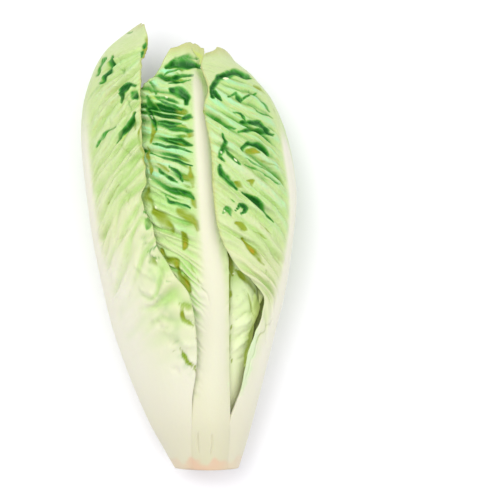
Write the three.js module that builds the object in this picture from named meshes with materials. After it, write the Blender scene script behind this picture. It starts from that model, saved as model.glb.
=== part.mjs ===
import * as THREE from 'three';

// Romaine lettuce heart lying on its back leaf. Millimetres: +Y runs from the cut butt to the
// leaf tips, +Z is up, +X is right for someone who looks down on the front of the head.
// Leaves are thin closed shells nested round one oval envelope, each at its own depth under it.
const BUTT_Y = -110;
const BLADE_THICKNESS = 0.95;
const BASE_THICKENING = 2.4;
const BASE_THICK_TOP_Y = -58;
const REST_Z = 0;
const UNDULATION = 0.8;
const TUCK_DEPTH = 5;
const TUCK_START_Y = -106;
const TUCK_END_Y = -90;
const ROW_WOBBLE = 1.1;
const RIB_CLEAR = 3;
const FOLD_START = 11;
const RIB_SHARE_OUTSIDE = 0.55;
const RIB_NARROWING = 0.72;
const RIB_FLATTENING = 0.75;
const TUCKED_FOLD_SHARE = 0.6;
const TIP_GROOVE_SHARE = 0.8;
const NORMAL_STEP = 0.002;

// Outline of the head from above and its thickness, as [y, millimetres].
const LEFT_EDGE_X = [
  [-110, -5.4], [-103, -9.4], [-85, -19.3], [-56, -31.6], [-27, -41], [9, -48.2],
  [43, -52.5], [68, -51.6], [86, -47], [97, -41], [105, -32], [111, -24],
];
const RIGHT_EDGE_X = [
  [-110, 22.6], [-94, 27.7], [-68, 35], [-43, 41.7], [-20, 47.6], [5, 51.4], [28, 52.4],
  [54, 48.9], [71, 42.5], [84, 32.6], [91, 22.8], [97, 16], [105, 2], [111, -10],
];
const HALF_DEPTH = [
  [-110, 13], [-100, 16.5], [-85, 21.6], [-60, 27.7], [-30, 33.6], [0, 36.8], [35, 38],
  [65, 36.4], [85, 31], [95, 25.5], [103, 18.5], [111, 9],
];
const UNDERSIDE_Z = [
  [-110, 9.2], [-85, 4.3], [-60, 1.2], [-35, -0.3], [0, -0.4], [35, -0.3], [60, 0.2], [80, 4],
  [95, 12], [111, 26],
];

function clamp01(x) {
  return Math.min(1, Math.max(0, x));
}

function smoothstep(from, to, x) {
  const t = clamp01((x - from) / (to - from));
  return t * t * (3 - 2 * t);
}

function degrees(angle) {
  return (angle * Math.PI) / 180;
}

// Smooth curve through [position, value] knots, flat beyond both ends.
function curve(knots) {
  const last = knots.length - 1;
  const slopes = knots.map((knot, i) => {
    const before = knots[Math.max(i - 1, 0)];
    const after = knots[Math.min(i + 1, last)];
    return (after[1] - before[1]) / (after[0] - before[0]);
  });
  return (position) => {
    const x = Math.min(knots[last][0], Math.max(knots[0][0], position));
    let i = 0;
    while (i < last - 1 && x > knots[i + 1][0]) {
      i += 1;
    }
    const width = knots[i + 1][0] - knots[i][0];
    const t = (x - knots[i][0]) / width;
    const rise = t * t * (3 - 2 * t);
    const start = t * (1 - t) * (1 - t) * width * slopes[i];
    const end = t * t * (t - 1) * width * slopes[i + 1];
    return knots[i][1] + (knots[i + 1][1] - knots[i][1]) * rise + start + end;
  };
}

const leftEdge = curve(LEFT_EDGE_X);
const rightEdge = curve(RIGHT_EDGE_X);
const halfDepth = curve(HALF_DEPTH);
const underside = curve(UNDERSIDE_Z);

// Oval cross-section of the envelope at height y along the head.
function section(y) {
  return {
    centreX: (leftEdge(y) + rightEdge(y)) / 2,
    centreZ: underside(y) + halfDepth(y),
    halfWidth: (rightEdge(y) - leftEdge(y)) / 2,
    halfDepth: halfDepth(y),
  };
}

// Slow swelling that all nested leaves share, so the gaps between them stay even.
function undulation(angle, y) {
  const swell = Math.sin(y / 15 + 2.1 * Math.sin(angle)) * Math.sin(3 * angle + y / 38);
  const keepUndersideEven = 1 - smoothstep(0.5, 0.85, -Math.sin(angle));
  return UNDULATION * swell * smoothstep(-50, 10, y) * keepUndersideEven;
}

// A leaf edge given as its distance x from the middle plane, seen from above.
function edgeFromX(knots) {
  const edgeX = curve(knots);
  return (y, depth) => {
    const oval = section(y);
    const cosine = (edgeX(y) - oval.centreX) / (oval.halfWidth - depth);
    return Math.acos(Math.min(0.98, Math.max(-0.98, cosine)));
  };
}

// A leaf edge given as its angle round the head, in degrees: 0 is right, 90 is up.
function edgeFromAngle(knots) {
  const edgeAngle = curve(knots);
  return (y) => degrees(edgeAngle(y));
}

// A leaf edge at a fixed angle that closes in towards the rib at the base.
function evenEdge(ribAngle, span, baseY) {
  return edgeFromAngle([
    [baseY, ribAngle + span * 0.7], [baseY + 40, ribAngle + span], [90, ribAngle + span * 0.9],
  ]);
}

// Rows run along the side veins: far apart on the smooth lower part, close on the crinkled part.
function rowPositions(leaf) {
  const rows = [];
  for (let i = 0; i < leaf.smoothRows; i += 1) {
    rows.push((leaf.smoothUpTo * i) / leaf.smoothRows);
  }
  for (let i = 0; i <= leaf.crinkledRows; i += 1) {
    rows.push(leaf.smoothUpTo + ((1 - leaf.smoothUpTo) * i) / leaf.crinkledRows);
  }
  return rows;
}

function crinkleRow(leaf, s) {
  return ((s - leaf.smoothUpTo) / (1 - leaf.smoothUpTo)) * leaf.crinkledRows;
}

function edgeAngleAt(leaf, u, y) {
  return (u < 0 ? leaf.edgeBefore : leaf.edgeAfter)(y, leaf.depth(y));
}

function distanceFromRib(leaf, u, y) {
  const turn = Math.abs(edgeAngleAt(leaf, u, y) - leaf.rib(y, leaf.depth(y)));
  return turn * Math.abs(u) * (section(y).halfWidth - leaf.depth(y));
}

// An inner leaf swells into the opening in front of it.
function bulgeHeight({ angle, spread, y, reach, height }, atAngle, atY) {
  const turned = (atAngle - degrees(angle)) / degrees(spread);
  const along = (atY - y) / reach;
  return height * Math.exp(-turned * turned - along * along);
}

// Point on the even middle surface of a leaf: u is -1..1 across, s is 0..1 from base to tip.
function leafPoint(leaf, u, s) {
  const side = Math.abs(u);
  const length = leaf.tipY - leaf.baseY;
  const evenY = leaf.baseY + length * s;
  const veinRise = (u < 0 ? leaf.veinRiseBefore : leaf.veinRiseAfter) * side * 4 * s * (1 - s);
  const shoulderDrop = u < 0 ? leaf.shoulderBefore : leaf.shoulderAfter;
  const shoulder = shoulderDrop * Math.pow(side, 1.8) * s * s * s;
  const inCrinkles = smoothstep(leaf.smoothUpTo, leaf.smoothUpTo + 0.1, s) * (1 - s);
  const wobble = ROW_WOBBLE * inCrinkles * Math.sin(2.4 * crinkleRow(leaf, s) + leaf.seed);
  const y = evenY + veinRise - shoulder + wobble;
  const oval = section(y);
  const plainDepth = leaf.depth(y);
  const ribAngle = leaf.rib(y, plainDepth);
  const angle = ribAngle + (edgeAngleAt(leaf, u, y) - ribAngle) * side;
  const tuck = u * leaf.tuckedEdge > 0 ? TUCK_DEPTH : 0;
  const underBack = smoothstep(0.28, 0.56, -Math.sin(angle));
  const depth = plainDepth + tuck * underBack * smoothstep(TUCK_START_Y, TUCK_END_Y, y);
  const swell = undulation(angle, y) + bulgeHeight(leaf.bulge, angle, y);
  return new THREE.Vector3(
    oval.centreX + (oval.halfWidth - depth + swell) * Math.cos(angle),
    y,
    oval.centreZ + (oval.halfDepth - depth + swell) * Math.sin(angle),
  );
}

function leafNormal(leaf, u, s) {
  const across = leafPoint(leaf, Math.min(1, u + NORMAL_STEP), s);
  across.sub(leafPoint(leaf, Math.max(-1, u - NORMAL_STEP), s));
  const along = leafPoint(leaf, u, Math.min(1, s + NORMAL_STEP));
  along.sub(leafPoint(leaf, u, Math.max(0, s - NORMAL_STEP)));
  return along.cross(across).normalize();
}

// Folds between the side veins: one row stands out, the next lies in.
function foldHeight(leaf, u, s) {
  const side = Math.abs(u);
  const row = crinkleRow(leaf, s);
  const isTucked = u * leaf.tuckedEdge > 0;
  const offRib = isTucked
    ? TUCKED_FOLD_SHARE * smoothstep(0.25, 0.5, side)
    : smoothstep(RIB_CLEAR, FOLD_START, distanceFromRib(leaf, u, leafPoint(leaf, u, s).y));
  const across = offRib * (1 - 0.3 * smoothstep(0.85, 1, side));
  const along = smoothstep(leaf.smoothUpTo, leaf.smoothUpTo + 0.3, s + 0.14 * side);
  const uneven = 0.66 + 0.34 * Math.sin(1.3 * row + 4.6 * u + leaf.seed);
  return leaf.fold * across * along * uneven * Math.cos(Math.PI * row);
}

// Free edges wave outwards, and a curled tip rolls forward above a groove.
function edgeWave(leaf, u, s) {
  const wave = 0.5 + 0.5 * Math.sin(leaf.waves * Math.PI * s + 2 * u + leaf.seed);
  const isTucked = u * leaf.tuckedEdge > 0;
  const free = isTucked ? 0 : smoothstep(0.7, 1, Math.abs(u)) * smoothstep(0.35, 0.6, s);
  const groove = smoothstep(0.88, 0.925, s) * (1 - smoothstep(0.925, 0.96, s));
  const roll = leaf.tipRoll * (smoothstep(0.94, 1, s) - TIP_GROOVE_SHARE * groove);
  return leaf.ruffle * wave * free + roll;
}

function ribHeight(leaf, u, y) {
  const toTip = clamp01((y - leaf.baseY) / (leaf.tipY - leaf.baseY));
  const width = leaf.ribWidth * (1 - RIB_NARROWING * Math.pow(toTip, 0.8));
  const height = leaf.ribHeight * (1 - RIB_FLATTENING * toTip);
  return height * Math.exp(-Math.pow(distanceFromRib(leaf, u, y) / width, 2));
}

function leafShell(leaf) {
  const rows = rowPositions(leaf);
  const columns = leaf.columns;
  const rowLength = columns.length;
  const faceSize = rowLength * rows.length;
  const positions = [];
  const inside = [];
  rows.forEach((s) => {
    columns.forEach((u) => {
      const position = leafPoint(leaf, u, s);
      const normal = leafNormal(leaf, u, s);
      const rib = ribHeight(leaf, u, position.y);
      const thickening = BASE_THICKENING * (1 - smoothstep(BUTT_Y, BASE_THICK_TOP_Y, position.y));
      const lift = foldHeight(leaf, u, s) + edgeWave(leaf, u, s);
      const front = lift + RIB_SHARE_OUTSIDE * rib;
      const back = lift - BLADE_THICKNESS - thickening - (1 - RIB_SHARE_OUTSIDE) * rib;
      const outer = position.clone().addScaledVector(normal, front);
      const inner = position.clone().addScaledVector(normal, back);
      if (leaf.restsOnIt) {
        outer.z = Math.max(REST_Z, outer.z);
        inner.z = Math.max(REST_Z + BLADE_THICKNESS, inner.z);
      }
      outer.y = Math.max(BUTT_Y, outer.y);
      inner.y = Math.max(BUTT_Y, inner.y);
      positions.push(outer.x, outer.y, outer.z);
      inside.push(inner.x, inner.y, inner.z);
    });
  });
  const indices = [];
  const quad = (a, b, c, d) => indices.push(a, c, b, a, d, c);
  for (let j = 0; j < rows.length - 1; j += 1) {
    for (let i = 0; i < rowLength - 1; i += 1) {
      const a = j * rowLength + i;
      const c = a + rowLength + 1;
      indices.push(a, c, a + 1, a, c - 1, c);
      indices.push(faceSize + a, faceSize + a + 1, faceSize + c);
      indices.push(faceSize + a, faceSize + c, faceSize + c - 1);
    }
  }
  const top = faceSize - rowLength;
  for (let i = 0; i < rowLength - 1; i += 1) {
    quad(i, faceSize + i, faceSize + i + 1, i + 1);
    quad(top + i + 1, faceSize + top + i + 1, faceSize + top + i, top + i);
  }
  for (let j = 0; j < rows.length - 1; j += 1) {
    const a = j * rowLength;
    const b = a + rowLength;
    quad(b, faceSize + b, faceSize + a, a);
    const aEnd = a + rowLength - 1;
    const bEnd = b + rowLength - 1;
    quad(aEnd, faceSize + aEnd, faceSize + bEnd, bEnd);
  }
  const geometry = new THREE.BufferGeometry();
  geometry.setAttribute('position', new THREE.Float32BufferAttribute([...positions, ...inside], 3));
  geometry.setIndex(indices);
  return geometry;
}

// Cut stem: round, widest just above the cut, pointed inside the heart. The leaf bases stand
// round it, cut off flush with it.
const STEM_PROFILE = [
  [0, -110], [7.3, -110], [8, -104], [7.9, -97], [6.4, -90], [5.4, -82], [4.1, -72],
  [2.8, -62], [1.5, -53], [0, -48],
];
const STEM_SIDES = 20;

function stemGeometry() {
  const outline = STEM_PROFILE.map(([radius, y]) => new THREE.Vector2(radius, y));
  const geometry = new THREE.LatheGeometry(outline, STEM_SIDES);
  const position = geometry.getAttribute('position');
  for (let i = 0; i < position.count; i += 1) {
    const oval = section(position.getY(i));
    position.setX(i, position.getX(i) + oval.centreX);
    position.setZ(i, position.getZ(i) + oval.centreZ);
  }
  return geometry;
}

const FINE_COLUMNS = [-1, -0.84, -0.62, -0.38, -0.18, -0.08, 0, 0.08, 0.18, 0.38, 0.62, 0.84, 1];
const MEDIUM_COLUMNS = [-1, -0.78, -0.5, -0.24, -0.09, 0, 0.09, 0.24, 0.5, 0.78, 1];
const COARSE_COLUMNS = [-1, -0.66, -0.3, -0.11, 0, 0.11, 0.3, 0.66, 1];

const OUTER = {
  baseY: BUTT_Y, columns: FINE_COLUMNS, smoothUpTo: 0.2, smoothRows: 4, crinkledRows: 32,
  veinRiseBefore: 20, veinRiseAfter: 20, shoulderBefore: 20, shoulderAfter: 20,
  ribWidth: 12, ribHeight: 3.2, fold: 1.5, ruffle: 1.6, waves: 9, tipRoll: 0, tuckedEdge: 0,
  bulge: { angle: 0, spread: 1, y: 0, reach: 1, height: 0 },
  colour: 0xd5ebb0,
};

const LEAVES = [
  {
    ...OUTER,
    name: 'outer_leaf_left',
    tipY: 110.5,
    depth: curve([[-110, 0], [110, 0]]),
    rib: edgeFromAngle([[-110, 172], [-60, 165], [0, 161], [60, 160], [95, 160], [111, 165]]),
    edgeBefore: edgeFromX([
      [-110, 1.6], [-95, 1.4], [-74, 1.8], [-60, 4], [-45, 4.4], [-23, 1], [-14, -5.4],
      [-2, -13.8], [23, -21.8], [32, -19.8], [50, -21.2], [60, -21.8], [72, -22.3],
      [83, -21.5], [95, -20.4], [102, -19.2], [111, -19.6],
    ]),
    edgeAfter: edgeFromAngle([[-110, 221], [-85, 225], [-60, 232], [40, 235], [111, 225]]),
    tuckedEdge: 1,
    veinRiseBefore: 38,
    shoulderBefore: 7,
    fold: 1.8,
    seed: 0.4,
  },
  {
    ...OUTER,
    name: 'outer_leaf_right',
    tipY: 98.5,
    depth: curve([[-110, 0], [110, 0]]),
    rib: edgeFromAngle([[-110, 8], [-60, 14], [0, 18], [60, 20], [90, 22], [99, 25]]),
    edgeBefore: edgeFromAngle([[-110, -38], [-85, -43], [-60, -50], [40, -54], [99, -42]]),
    edgeAfter: edgeFromX([
      [-110, 18.3], [-97, 19.7], [-86, 20.9], [-78, 24], [-70, 27], [-55, 30.6], [-45, 32],
      [-32, 36.6], [-24, 37],
      [-15, 30.1], [-11, 25.2], [6, 15.8], [28, 12.3], [46, 11.2], [57, 9.4], [67, 7.9],
      [75, 9.7], [87, 6.9], [94, 7.4], [99, 12],
    ]),
    tuckedEdge: -1,
    crinkledRows: 40,
    veinRiseAfter: 36,
    shoulderAfter: 5,
    fold: 2,
    tipRoll: 1,
    seed: 2.1,
  },
  {
    ...OUTER,
    name: 'outer_leaf_back',
    tipY: 96,
    columns: MEDIUM_COLUMNS,
    crinkledRows: 24,
    depth: curve([[-110, 0], [110, 0]]),
    rib: edgeFromAngle([[-110, 269], [-60, 268], [40, 268], [75, 274], [96, 284]]),
    edgeBefore: edgeFromAngle([
      [-110, 225], [-85, 224], [-60, 217], [-32, 212], [-8, 216], [18, 212], [38, 216],
      [56, 222], [65, 235], [73, 249], [85, 262], [96, 273],
    ]),
    edgeAfter: edgeFromAngle([
      [-110, 317], [-85, 316], [-60, 322], [-40, 326], [-14, 322], [10, 328], [34, 323],
      [55, 328], [76, 320], [96, 310],
    ]),
    fold: 1, ruffle: 0.6, restsOnIt: true,
    seed: 4.4,
  },
  {
    ...OUTER,
    name: 'front_leaf',
    tipY: 99,
    depth: curve([[-110, 0], [-88, 0.4], [-72, 2.6], [-60, 4.4], [-40, 5.6], [101, 5.6]]),
    rib: edgeFromX([[-110, 12], [-75, 12.4], [-23, 13.3], [11, 9.9], [48, 7], [86, 4], [101, 0]]),
    edgeBefore: edgeFromX([
      [-110, 17.8], [-97, 19.2], [-84, 20.2], [-60, 20.8], [-25, 22], [-5, 24], [6, 28],
      [20, 34], [50, 38], [75, 22], [86, 7.5], [94, 7.4], [101, 5.5],
    ]),
    edgeAfter: edgeFromX([
      [-110, 2.1], [-90, 2], [-77, 3], [-71, 2.8], [-62, -3], [-45, -5], [-30, -6], [-20, -9],
      [-3, -16], [10, -26],
      [30, -34], [60, -38], [73, -26], [84, -15.3], [91, -11.2], [96, -8], [99, -4.5],
    ]),
    ribWidth: 9,
    ribHeight: 3.6,
    crinkledRows: 42,
    veinRiseBefore: 8,
    veinRiseAfter: 18,
    fold: 2.1,
    ruffle: 0.6,
    tipRoll: 1.6,
    shoulderBefore: 4,
    shoulderAfter: 3,
    seed: 1.2,
  },
  {
    ...OUTER,
    name: 'inner_leaf_front',
    columns: MEDIUM_COLUMNS,
    smoothRows: 4,
    crinkledRows: 22,
    baseY: -88,
    tipY: 84,
    depth: curve([[-110, 5], [-88, 6.4], [-72, 7.6], [-60, 8.8], [-40, 10.3], [110, 10.3]]),
    rib: edgeFromAngle([[-110, 86], [90, 86]]),
    edgeBefore: edgeFromX([
      [-88, 16], [-80, 22], [-71, 26.8], [-58, 28.4], [-47, 30], [-40, 31], [-30, 31],
      [-21, 29], [-10, 25.5], [10, 22], [84, 18],
    ]),
    edgeAfter: evenEdge(86, 62, -88),
    bulge: { angle: 38, spread: 16, y: -38, reach: 26, height: 3.6 },
    veinRiseBefore: 12,
    veinRiseAfter: 12,
    ribWidth: 8,
    ribHeight: 1.6,
    fold: 0.9,
    ruffle: 0.5,
    seed: 3.3,
  },
];

const RIGHT_BULGE = { angle: 18, spread: 8, y: -20, reach: 14, height: 6 };
const INNER_LEAVES = [
  ['inner_leaf_right', 12, 68, 14, 11.2, -78, 80, MEDIUM_COLUMNS, RIGHT_BULGE],
  ['inner_leaf_left', 203, 50, 9.4, 9.4, -90, 73, COARSE_COLUMNS],
  ['inner_leaf_back', 291, 33, 9.6, 9.6, -88, 86, COARSE_COLUMNS],
  ['inner_leaf_left_deep', 188, 68, 17.4, 17.4, -71, 71, COARSE_COLUMNS],
  ['inner_leaf_back_deep', 285, 68, 20.6, 20.6, -61, 74, COARSE_COLUMNS],
];
const HEART_LEAVES = [
  ['heart_leaf_1', 62, 68, 23.6, 23.6, -51, 76],
  ['heart_leaf_2', 200, 68, 26.5, 26.5, -41, 68],
  ['heart_leaf_3', 320, 66, 29.2, 29.2, -28, 60],
  ['heart_leaf_4', 100, 62, 31.8, 31.8, -12, 52],
  ['heart_leaf_5', 280, 54, 33.9, 33.9, 0, 44],
];

function innerLeaf([name, ribAngle, span, depth, baseDepth, baseY, tipY, columns, bulge], index) {
  return {
    ...OUTER,
    name,
    columns,
    bulge: bulge ?? OUTER.bulge,
    smoothRows: 3,
    crinkledRows: 18,
    baseY,
    tipY,
    depth: curve([[-110, baseDepth], [-80, baseDepth], [-40, depth], [110, depth]]),
    rib: edgeFromAngle([[-110, ribAngle], [110, ribAngle]]),
    edgeBefore: evenEdge(ribAngle, -span, baseY),
    edgeAfter: evenEdge(ribAngle, span, baseY),
    veinRiseBefore: 12,
    veinRiseAfter: 12,
    ribWidth: 7,
    ribHeight: 1.3,
    fold: 0.75,
    ruffle: 0.4,
    seed: 1.7 * index,
  };
}

function heartLeaf(row, index) {
  const depth = row[3];
  return {
    ...innerLeaf(row, index),
    columns: COARSE_COLUMNS,
    smoothRows: 3,
    crinkledRows: Math.round(14 - (depth - 23) * 0.5),
    veinRiseBefore: 5,
    veinRiseAfter: 5,
    shoulderBefore: 12,
    shoulderAfter: 12,
    ribWidth: 5,
    ribHeight: 0.9,
    fold: 0.55,
    ruffle: 0.3,
  };
}

function meshOf(name, geometry, colour, roughness) {
  const material = new THREE.MeshStandardMaterial({ color: colour, roughness, metalness: 0 });
  const mesh = new THREE.Mesh(geometry, material);
  mesh.name = name;
  return mesh;
}

const head = new THREE.Group();
head.name = 'romaine_heart';
head.add(meshOf('stem_butt', stemGeometry(), 0xe8cdb0, 0.6));
LEAVES.push(...INNER_LEAVES.map(innerLeaf), ...HEART_LEAVES.map(heartLeaf));
LEAVES.forEach((leaf) => head.add(meshOf(leaf.name, leafShell(leaf), leaf.colour, 0.5)));

export default head;
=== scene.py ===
"""Romaine lettuce heart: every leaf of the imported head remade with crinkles, veins and colour.

The head lies on its back leaf. +Y runs from the cut stem to the leaf tips and +Z is up.
Leaf sizes are in millimetres, as in the part's source, and become metres in the meshes.
"""

from __future__ import annotations

import logging
import math
from dataclasses import dataclass, replace
from enum import Enum

import bmesh
import bpy
import numpy as np
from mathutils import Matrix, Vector


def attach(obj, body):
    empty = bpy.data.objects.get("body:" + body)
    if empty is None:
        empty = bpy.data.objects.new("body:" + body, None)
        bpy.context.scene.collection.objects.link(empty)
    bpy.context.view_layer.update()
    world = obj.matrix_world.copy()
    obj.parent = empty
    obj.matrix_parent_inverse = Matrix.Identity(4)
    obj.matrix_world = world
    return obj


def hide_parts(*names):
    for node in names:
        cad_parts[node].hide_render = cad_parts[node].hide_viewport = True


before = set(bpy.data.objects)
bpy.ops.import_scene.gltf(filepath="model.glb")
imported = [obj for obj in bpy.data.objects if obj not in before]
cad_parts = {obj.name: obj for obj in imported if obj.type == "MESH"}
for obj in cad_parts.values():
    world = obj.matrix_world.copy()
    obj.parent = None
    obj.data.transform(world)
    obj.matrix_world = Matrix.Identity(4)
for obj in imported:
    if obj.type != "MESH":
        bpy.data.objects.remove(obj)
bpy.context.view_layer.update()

LOG = logging.getLogger("romaine_heart")
MM = 0.001  # A millimetre in metres.

BUTT_Y = -110.0
TIP_Y = 110.0

# How thick a leaf is, and the shares of its rib that lie outside and inside the blade.
BLADE_THICKNESS = 0.95
EDGE_THICKNESS = 0.6
BASE_THICKENING = 2.4
BASE_THICK_TOP_Y = -58.0
RIB_OUTSIDE = 0.55
RIB_INSIDE = 0.45

# How the leaves swell, tuck under the back leaf and fold.
UNDULATION = 0.8
UNDULATION_START_Y = -50.0
UNDULATION_END_Y = 10.0
TUCK_DEPTH = 5.0
TUCK_START_Y = -106.0
TUCK_END_Y = -90.0
ROW_WOBBLE = 1.1
TIP_START = 0.88
RIB_CLEAR = 3.0
FOLD_START = 11.0
SMOOTH_TIP_SHARE = 0.15
MOST_RELIEF = 2.7
SEED_STEP = 1.7
HEART_LEAF_ROWS = (14, 12, 11, 10, 9)
CREASE_WANDER = 0.7
# Olive painted shade spreads wider than its crease.
SOFT_CREASE_SPREAD = 1.3

# The cut at the butt.
CUT_TOP_Y = -104.2
CUT_MIDDLE_X = 8.3
TORN_TAB = (7.2, -105.0)
TORN_TAB_SIZE = (2.8, 1.9)
LOW_START_Y = -112.0
LOW_END_Y = -50.0

# The camera above the head, and the height at which its outline is measured.
CAMERA_HEIGHT = 1200.0
OUTLINE_HEIGHT = 35.0
FRAME_CENTRE = (30.1, -1.3)

Array = np.ndarray
Knot = tuple[float, float]
Colour = tuple[float, float, float]


def smoothstep(start: float, end: float, x: Array) -> Array:
    """Rise evenly from 0 at start to 1 at end."""
    t = np.clip((x - start) / (end - start), 0.0, 1.0)
    return t * t * (3.0 - 2.0 * t)


def smooth_noise(x: Array, y: Array, seed: float) -> Array:
    """Give a smooth random height between -1 and 1.

    Args:
        x: Position along the first axis, in cells.
        y: Position along the second axis, in cells.
        seed: Number that picks one pattern.

    Returns:
        One height for each point.
    """

    def corner(i: Array, j: Array) -> Array:
        """Give the random height of one corner of a cell."""
        return np.modf(np.abs(np.sin(i * 127.1 + j * 311.7 + seed * 74.7) * 43758.5453))[0]

    left, low = np.floor(x), np.floor(y)
    a = smoothstep(0.0, 1.0, x - left)
    b = smoothstep(0.0, 1.0, y - low)
    bottom = corner(left, low) * (1 - a) + corner(left + 1, low) * a
    top = corner(left, low + 1) * (1 - a) + corner(left + 1, low + 1) * a
    return 2.0 * (bottom * (1 - b) + top * b) - 1.0


@dataclass(frozen=True)
class Curve:
    """A smooth line through (position, value) knots, flat beyond both ends."""

    knots: tuple[Knot, ...]

    def __call__(self, position: Array) -> Array:
        """Give the value at each position.

        Args:
            position: Places along the line; those beyond an end get the end's value.

        Returns:
            One value for each place.
        """
        xs, values = np.array(self.knots, float).T
        last = len(xs) - 1
        before = np.maximum(np.arange(last + 1) - 1, 0)
        after = np.minimum(np.arange(last + 1) + 1, last)
        slopes = (values[after] - values[before]) / (xs[after] - xs[before])
        x = np.clip(position, xs[0], xs[-1])
        i = np.clip(np.searchsorted(xs, x) - 1, 0, last - 1)
        width = xs[i + 1] - xs[i]
        t = (x - xs[i]) / width
        rise = t * t * (3 - 2 * t)
        start = t * (1 - t) * (1 - t) * width * slopes[i]
        end = t * t * (t - 1) * width * slopes[i + 1]
        return values[i] + (values[i + 1] - values[i]) * rise + start + end


def level(value: float) -> Curve:
    """Make a curve that has one value all along the head."""
    return Curve(((BUTT_Y, value), (TIP_Y, value)))


@dataclass(frozen=True)
class Envelope:
    """The oval form that the leaves nest in: outline from above, thickness and underside."""

    left: Curve = Curve((
        (-110, -5.4), (-103, -9.4), (-85, -19.3), (-56, -31.6), (-27, -41), (9, -48.2),
        (43, -52.5), (68, -51.6), (86, -47), (97, -41), (105, -32), (111, -24),
    ))
    right: Curve = Curve((
        (-110, 22.6), (-94, 27.7), (-68, 35), (-43, 41.7), (-20, 47.6), (5, 51.4), (28, 52.4),
        (54, 48.9), (71, 42.5), (84, 32.6), (91, 22.9), (95, 19.3), (98, 16.4), (105, 3),
        (111, -10),
    ))
    half_depth: Curve = Curve((
        (-110, 13), (-100, 16.5), (-85, 21.6), (-60, 27.7), (-30, 33.6), (0, 36.8), (35, 38),
        (65, 36.4), (85, 31), (95, 25.5), (103, 18.5), (111, 9),
    ))
    underside: Curve = Curve((
        (-110, 9.2), (-85, 4.3), (-60, 1.2), (-35, -0.3), (0, -0.4), (35, -0.3), (60, 0.2),
        (80, 4), (95, 12), (111, 26),
    ))

    def half_width(self, y: Array) -> Array:
        """Give half the head's width at y."""
        return (self.right(y) - self.left(y)) / 2

    def centre_x(self, y: Array) -> Array:
        """Give the middle of the head at y."""
        return (self.right(y) + self.left(y)) / 2

    def point(self, angle: Array, y: Array, depth: Array) -> Array:
        """Place a point under the oval surface.

        Args:
            angle: Angle round the head in radians, 0 at the right and a quarter turn on top.
            y: Position along the head.
            depth: Distance under the oval surface.

        Returns:
            Rows of x, y, z in millimetres.
        """
        swell = np.sin(y / 15 + 2.1 * np.sin(angle)) * np.sin(3 * angle + y / 38)
        even_underside = 1 - smoothstep(0.5, 0.85, -np.sin(angle))
        folded = smoothstep(UNDULATION_START_Y, UNDULATION_END_Y, y)
        swell = UNDULATION * swell * folded * even_underside
        wide = self.half_width(y) - depth + swell
        deep = self.half_depth(y) - depth + swell
        centre_z = self.underside(y) + self.half_depth(y)
        return np.stack([
            self.centre_x(y) + wide * np.cos(angle), y, centre_z + deep * np.sin(angle)
        ], axis=-1)


ENVELOPE = Envelope()


def seen_from_above(place: Array) -> tuple[Array, Array]:
    """Give where the camera above the head sees points, measured at the outline's height.

    Args:
        place: Rows of x, y, z in millimetres.

    Returns:
        The x and the y of each point.
    """
    scale = (CAMERA_HEIGHT - OUTLINE_HEIGHT) / (CAMERA_HEIGHT - place[:, 2])
    centre_x, centre_y = FRAME_CENTRE
    seen_x = centre_x + (place[:, 0] - centre_x) * scale
    return seen_x, centre_y + (place[:, 1] - centre_y) * scale


@dataclass(frozen=True)
class EdgeFromX:
    """A leaf line given by its distance from the middle plane, as seen from above."""

    x: Curve

    def angle(self, y: Array, depth: Array) -> Array:
        """Give the line's angle round the head at y."""
        cosine = (self.x(y) - ENVELOPE.centre_x(y)) / (ENVELOPE.half_width(y) - depth)
        return np.arccos(np.clip(cosine, -0.98, 0.98))


@dataclass(frozen=True)
class EdgeFromAngle:
    """A leaf line given by its angle round the head, in degrees."""

    degrees: Curve

    def angle(self, y: Array, depth: Array) -> Array:
        """Give the line's angle round the head at y."""
        return np.radians(self.degrees(y))


def even_edge(rib: float, span: float, base_y: float) -> EdgeFromAngle:
    """Make an edge at a fixed angle from the rib that closes in at the base.

    Args:
        rib: Angle of the rib in degrees.
        span: Angle from the rib to the edge, negative for the edge before it.
        base_y: Where the leaf starts.

    Returns:
        The edge.
    """
    return EdgeFromAngle(Curve((
        (base_y, rib + span * 0.7), (base_y + 40, rib + span), (90, rib + span * 0.9),
    )))


def by_x(*knots: Knot) -> EdgeFromX:
    """Make a leaf line from its distance from the middle plane at each y."""
    return EdgeFromX(Curve(knots))


def by_angle(*knots: Knot) -> EdgeFromAngle:
    """Make a leaf line from its angle at each y."""
    return EdgeFromAngle(Curve(knots))


class Tuck(Enum):
    """Which edge of an outer leaf lies under the back leaf."""

    NONE = 0
    BEFORE = -1
    AFTER = 1


class Tone(Enum):
    """What colours the inside of a crease; the value names the mask that the finish reads. The
    dark and olive tones paint shade, and so does the green tone in a crease with depth; the lime
    and blister tones paint highlights, and the lit tone paints a glow of light shining through.
    """

    # Painted shade: green to deep green in the hollow of a crease.
    DARK = "dark"
    # Painted shade: green in the hollow of a crease with depth; without depth, a broad band of the
    # leaf's own green.
    GREEN = "green"
    # Olive and ochre painted shade in creases and in the gaps between leaves.
    OLIVE_SHADE = "olive"
    # Painted highlight on the lips of creases.
    LIME_HIGHLIGHT = "lime"
    # Painted highlight: pale on a raised blister.
    BLISTER_HIGHLIGHT = "blister"
    MARGIN = "margin"
    # Painted glow of light shining through the leaf.
    LIT = "lit"
    PLAIN = "plain"


DARK, GREEN, OLIVE_SHADE, LIME_HIGHLIGHT, BLISTER_HIGHLIGHT, MARGIN, LIT, PLAIN = Tone


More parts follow.
